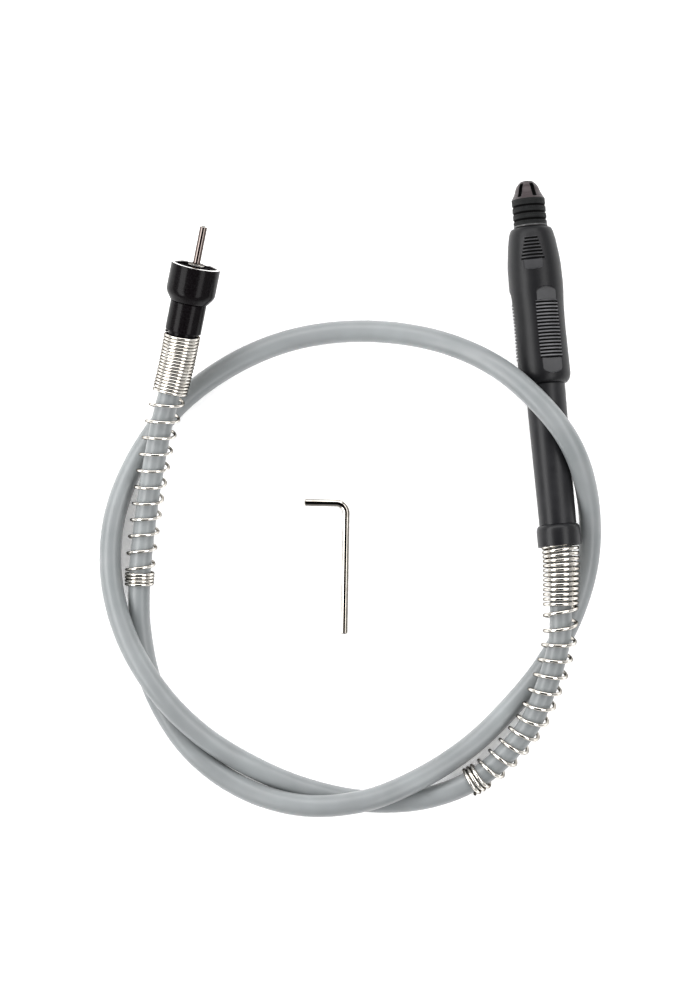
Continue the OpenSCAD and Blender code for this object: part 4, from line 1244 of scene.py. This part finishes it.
@dataclass
class DriveEnd:
    """Ferrule, coupling nut and drive pin, in the drive end's frame with +Z towards the pin."""

    place: Place
    ferrule_d: float = 15.8
    ferrule_len: float = 13.0
    spigot_d: float = 12.6
    neck_d: float = 12.0
    neck_end: float = 18.7
    ring_groove: tuple[float, float] = (16.25, 17.55)
    hose_bore: float = 9.9
    bush_d: float = 9.04
    nut_d: float = 21.5
    nut_bore: float = 17.4
    nut_cone_len: float = 3.7
    nut_cyl_len: float = 12.6
    nut_floor: float = 2.8
    swivel_bore: float = 12.2
    thread_pitch: float = 1.25
    thread_depth: float = 0.45
    flange_d: float = 7.2
    flange_thick: float = 1.2
    flange_inside: float = 0.9
    square: float = 2.2
    tail_from: float = 14.7
    pin_d: float = 3.2
    pin_len: float = 17.0
    screw_z: float = 9.0
    screw_bore: float = 3.1

    @property
    def nut_back(self) -> float:
        """Rear face of the nut."""
        return self.ferrule_len + 0.2

    @property
    def mouth(self) -> float:
        """The nut's open face."""
        return self.nut_back + self.nut_cone_len + self.nut_cyl_len

    def ferrule(self) -> bpy.types.Object:
        """The ferrule: its outline turned about the axis, with the set screw's hole on the underside."""
        r, neck = self.ferrule_d / 2, self.neck_d / 2
        ring_from, ring_to = self.ring_groove
        outline = soften([
            (self.hose_bore / 2, -5.0), (self.spigot_d / 2, -5.0), (self.spigot_d / 2, 0.0), (r, 0.0),
            (r, self.ferrule_len), (neck, self.ferrule_len), (neck, ring_from), (neck - 0.4, ring_from),
            (neck - 0.4, ring_to), (neck, ring_to), (neck, self.neck_end), (self.bush_d / 2, self.neck_end),
            (self.bush_d / 2, 4.0), (self.hose_bore / 2, 4.0),
        ], [0.2, 0.2, 0.1, 1.5, 0.25, 0.1, 0.1, 0.1, 0.1, 0.1, 0.2, 0.1, 0.1, 0.1], 9)
        body = turned(outline[:, 0], outline[:, 1], 128)
        piece = grid_mesh("ferrule", self.place.to_world(body), Ends.JOINED)
        bore_out(piece, self.place, self.screw_z, self.screw_bore)
        return settle(piece, COUPLING, "handpiece", "coupling_ferrule")

    def nut(self) -> bpy.types.Object:
        """The nut: a cup whose wall carries a thread, a ridge that climbs one pitch a turn."""
        columns, r, cyl = 180, self.nut_d / 2, self.nut_back + self.nut_cone_len
        shell = soften([
            (self.swivel_bore / 2, self.nut_back), (self.ferrule_d / 2 + 0.25, self.nut_back), (r, cyl),
            (r, self.mouth), (self.nut_bore / 2 + 0.6, self.mouth)], [0.1, 0.5, 1.6, 0.45, 0.3], 9)[:-4]
        z = np.linspace(self.mouth - 0.6, cyl + 0.6, 96)
        angle = np.arange(columns) * (2 * math.pi / columns)
        phase = (z[:, None] / self.thread_pitch + angle[None, :] / (2 * math.pi)) % 1
        ridge = np.clip(1.6 - np.abs(phase * 2 - 1) * 2.6, 0, 1)
        fade = smoothstep(0.0, 1.4, self.mouth - 0.6 - z) * smoothstep(0.0, 1.0, z - cyl - 0.6)
        wall = self.nut_bore / 2 + self.thread_depth * (1 - ridge * fade[:, None])
        floor_z = self.nut_back + self.nut_floor
        floor = np.array([[self.nut_bore / 2 - 0.7, floor_z], [self.swivel_bore / 2, floor_z]])
        grid = np.concatenate([turned(shell[:, 0], shell[:, 1], columns), turned(wall, z, columns),
                               turned(floor[:, 0], floor[:, 1], columns)])
        piece = grid_mesh("coupling_cup", self.place.to_world(grid), Ends.JOINED)
        off_axis = np.linalg.norm(grid[..., :2], axis=-1)
        rim = (grid[..., 2] > self.mouth - 0.12) & (off_axis > self.nut_bore / 2)
        paint(piece, "bare", rim.astype(float))
        return settle(piece, COUPLING, "coupling_nut", "coupling_nut")

    def pin(self) -> bpy.types.Object:
        """The pin: a square tail, a boss, a flange and the round pin with a chamfered end, as one grid.

        A square's radius at an angle is half its side over the larger of |cos| and |sin|.
        """
        columns, flange = 96, self.mouth - self.flange_inside
        angle = np.arange(columns) * (2 * math.pi / columns)
        square = self.square / 2 / np.maximum(np.abs(np.cos(angle)), np.abs(np.sin(angle)))
        face = flange + self.flange_thick
        tip = face + self.pin_len
        rows = np.array([
            (2.4, flange - 1.1), (2.4, flange - 0.02), (2.4, flange), (self.flange_d / 2 - 0.12, flange),
            (self.flange_d / 2, flange + 0.12), (self.flange_d / 2, face - 0.12),
            (self.flange_d / 2 - 0.12, face), (self.pin_d / 2 + 0.25, face),
            (self.pin_d / 2, face + 0.25), (self.pin_d / 2, tip - 0.5), (self.pin_d / 2 - 0.06, tip - 0.42),
            (self.pin_d / 2 - 0.5, tip)])
        tail_z = np.array([self.tail_from, flange - 1.1])
        grid = np.concatenate([turned(np.tile(square, (2, 1)), tail_z, columns),
                               turned(rows[:, 0], rows[:, 1], columns)])
        piece = grid_mesh("steel_pin", self.place.to_world(grid), Ends.CAPPED)
        # Painted dark reflection: the shank is marked 0, for the finish's darker colour.
        shank = (grid[..., 2] > face + 0.1) & (grid[..., 2] < tip - 0.45)
        paint(piece, "turned", 1.0 - shank)
        return settle(piece, PIN, "drive_pin", "drive_pin")

    def build(self) -> None:
        """Every piece of the drive end that shows, and the finishes of those inside."""
        self.ferrule()
        self.nut()
        self.pin()
        for name, finish in {"swivel_ring": SPRING_STEEL, "drive_bush": BRONZE, "drive_socket": SCREW,
                             "ferrule_screw": SCREW}.items():
            dress(bpy.data.objects[name], finish)
            log.info("%s: CAD node in %s", name, finish.name)


# ---- The hex key ----


@dataclass(frozen=True)
class HexKey:
    """A bent hexagon bar that lies on the table, its long arm along -Y and its top ridge worn flat."""

    corner: tuple[float, float] = (-11.3, -41.4)
    turn: float = -1.0
    across_flats: float = 3.0
    long_arm: float = 57.4
    short_arm: float = 18.4
    bend: float = 4.5
    chamfer: float = 0.45
    worn: float = 0.55

    def mesh(self) -> bpy.types.Object:
        """The bar: a hexagon with rounded corners, carried down one arm, round the bend and along the other.

        The path is level. The section's first axis points left of the way ahead, and its second is +Z.
        """
        half = self.across_flats / 2
        corner_r = half / math.cos(math.pi / 6)
        sixths = np.radians(90 + 60 * np.arange(6))
        hexagon = np.stack([np.cos(sixths), np.sin(sixths)], axis=-1) * corner_r
        aside = self.worn * math.cos(math.pi / 6)
        ridge = hexagon[0] + [[aside, -self.worn / 2], [-aside, -self.worn / 2]]
        section = soften([tuple(p) for p in (*ridge, *hexagon[1:])], [0.35, 0.35] + [0.36] * 5, 9)
        turn_at = np.linspace(0.0, math.pi / 2, 24)
        ends = np.array([0.0, 0.02, self.chamfer])
        down = self.long_arm - np.concatenate([ends, [self.long_arm - self.bend]])
        arm = np.stack([np.zeros(4), -down], axis=-1)
        arc = np.stack([-(1 - np.cos(turn_at)), np.sin(turn_at) - 1], axis=-1) * self.bend
        out = self.short_arm - np.concatenate([[self.short_arm - self.bend], ends[::-1]])
        side = np.stack([-out, np.zeros(4)], axis=-1)
        path = np.concatenate([arm, arc[1:-1], side])
        round_bend = np.stack([-np.sin(turn_at), np.cos(turn_at)], axis=-1)[1:-1]
        heading = np.concatenate([np.tile([0.0, 1.0], (4, 1)), round_bend, np.tile([-1.0, 0.0], (4, 1))])
        left = np.stack([-heading[:, 1], heading[:, 0]], axis=-1)
        size = np.ones(len(path))
        size[[0, -1]], size[[1, -2]] = 0.72, 0.76
        flat = path[:, None] + section[None, :, :1] * size[:, None, None] * left[:, None]
        high = corner_r + section[None, :, 1] * size[:, None]
        spin = math.radians(self.turn)
        x = self.corner[0] + flat[..., 0] * math.cos(spin) - flat[..., 1] * math.sin(spin)
        y = self.corner[1] + flat[..., 0] * math.sin(spin) + flat[..., 1] * math.cos(spin)
        return grid_mesh("bent_key", np.stack([x, y, high], axis=-1), Ends.CAPPED, 25.0)

    def build(self) -> None:
        """The key in its finish."""
        settle(self.mesh(), KEY, "hex_key", "hex_key")


def main() -> None:
    """Builds the studio and then each sub-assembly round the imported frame."""
    logging.basicConfig(level=logging.INFO, format="%(name)s %(message)s")
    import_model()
    handpiece_at = Place(origin=(81.3, -60.0, 19.1331), lean=5.0, rise=-3.5)
    drive_end_at = Place(origin=(-81.8, 32.6, 25.2), lean=-12.0, rise=12.0)
    Studio().build()
    FlexShaft(HoseRoute(handpiece_at, drive_end_at)).build()
    Handpiece(handpiece_at).build()
    DriveEnd(drive_end_at).build()
    HexKey().build()


if __name__ == "__main__":
    main()
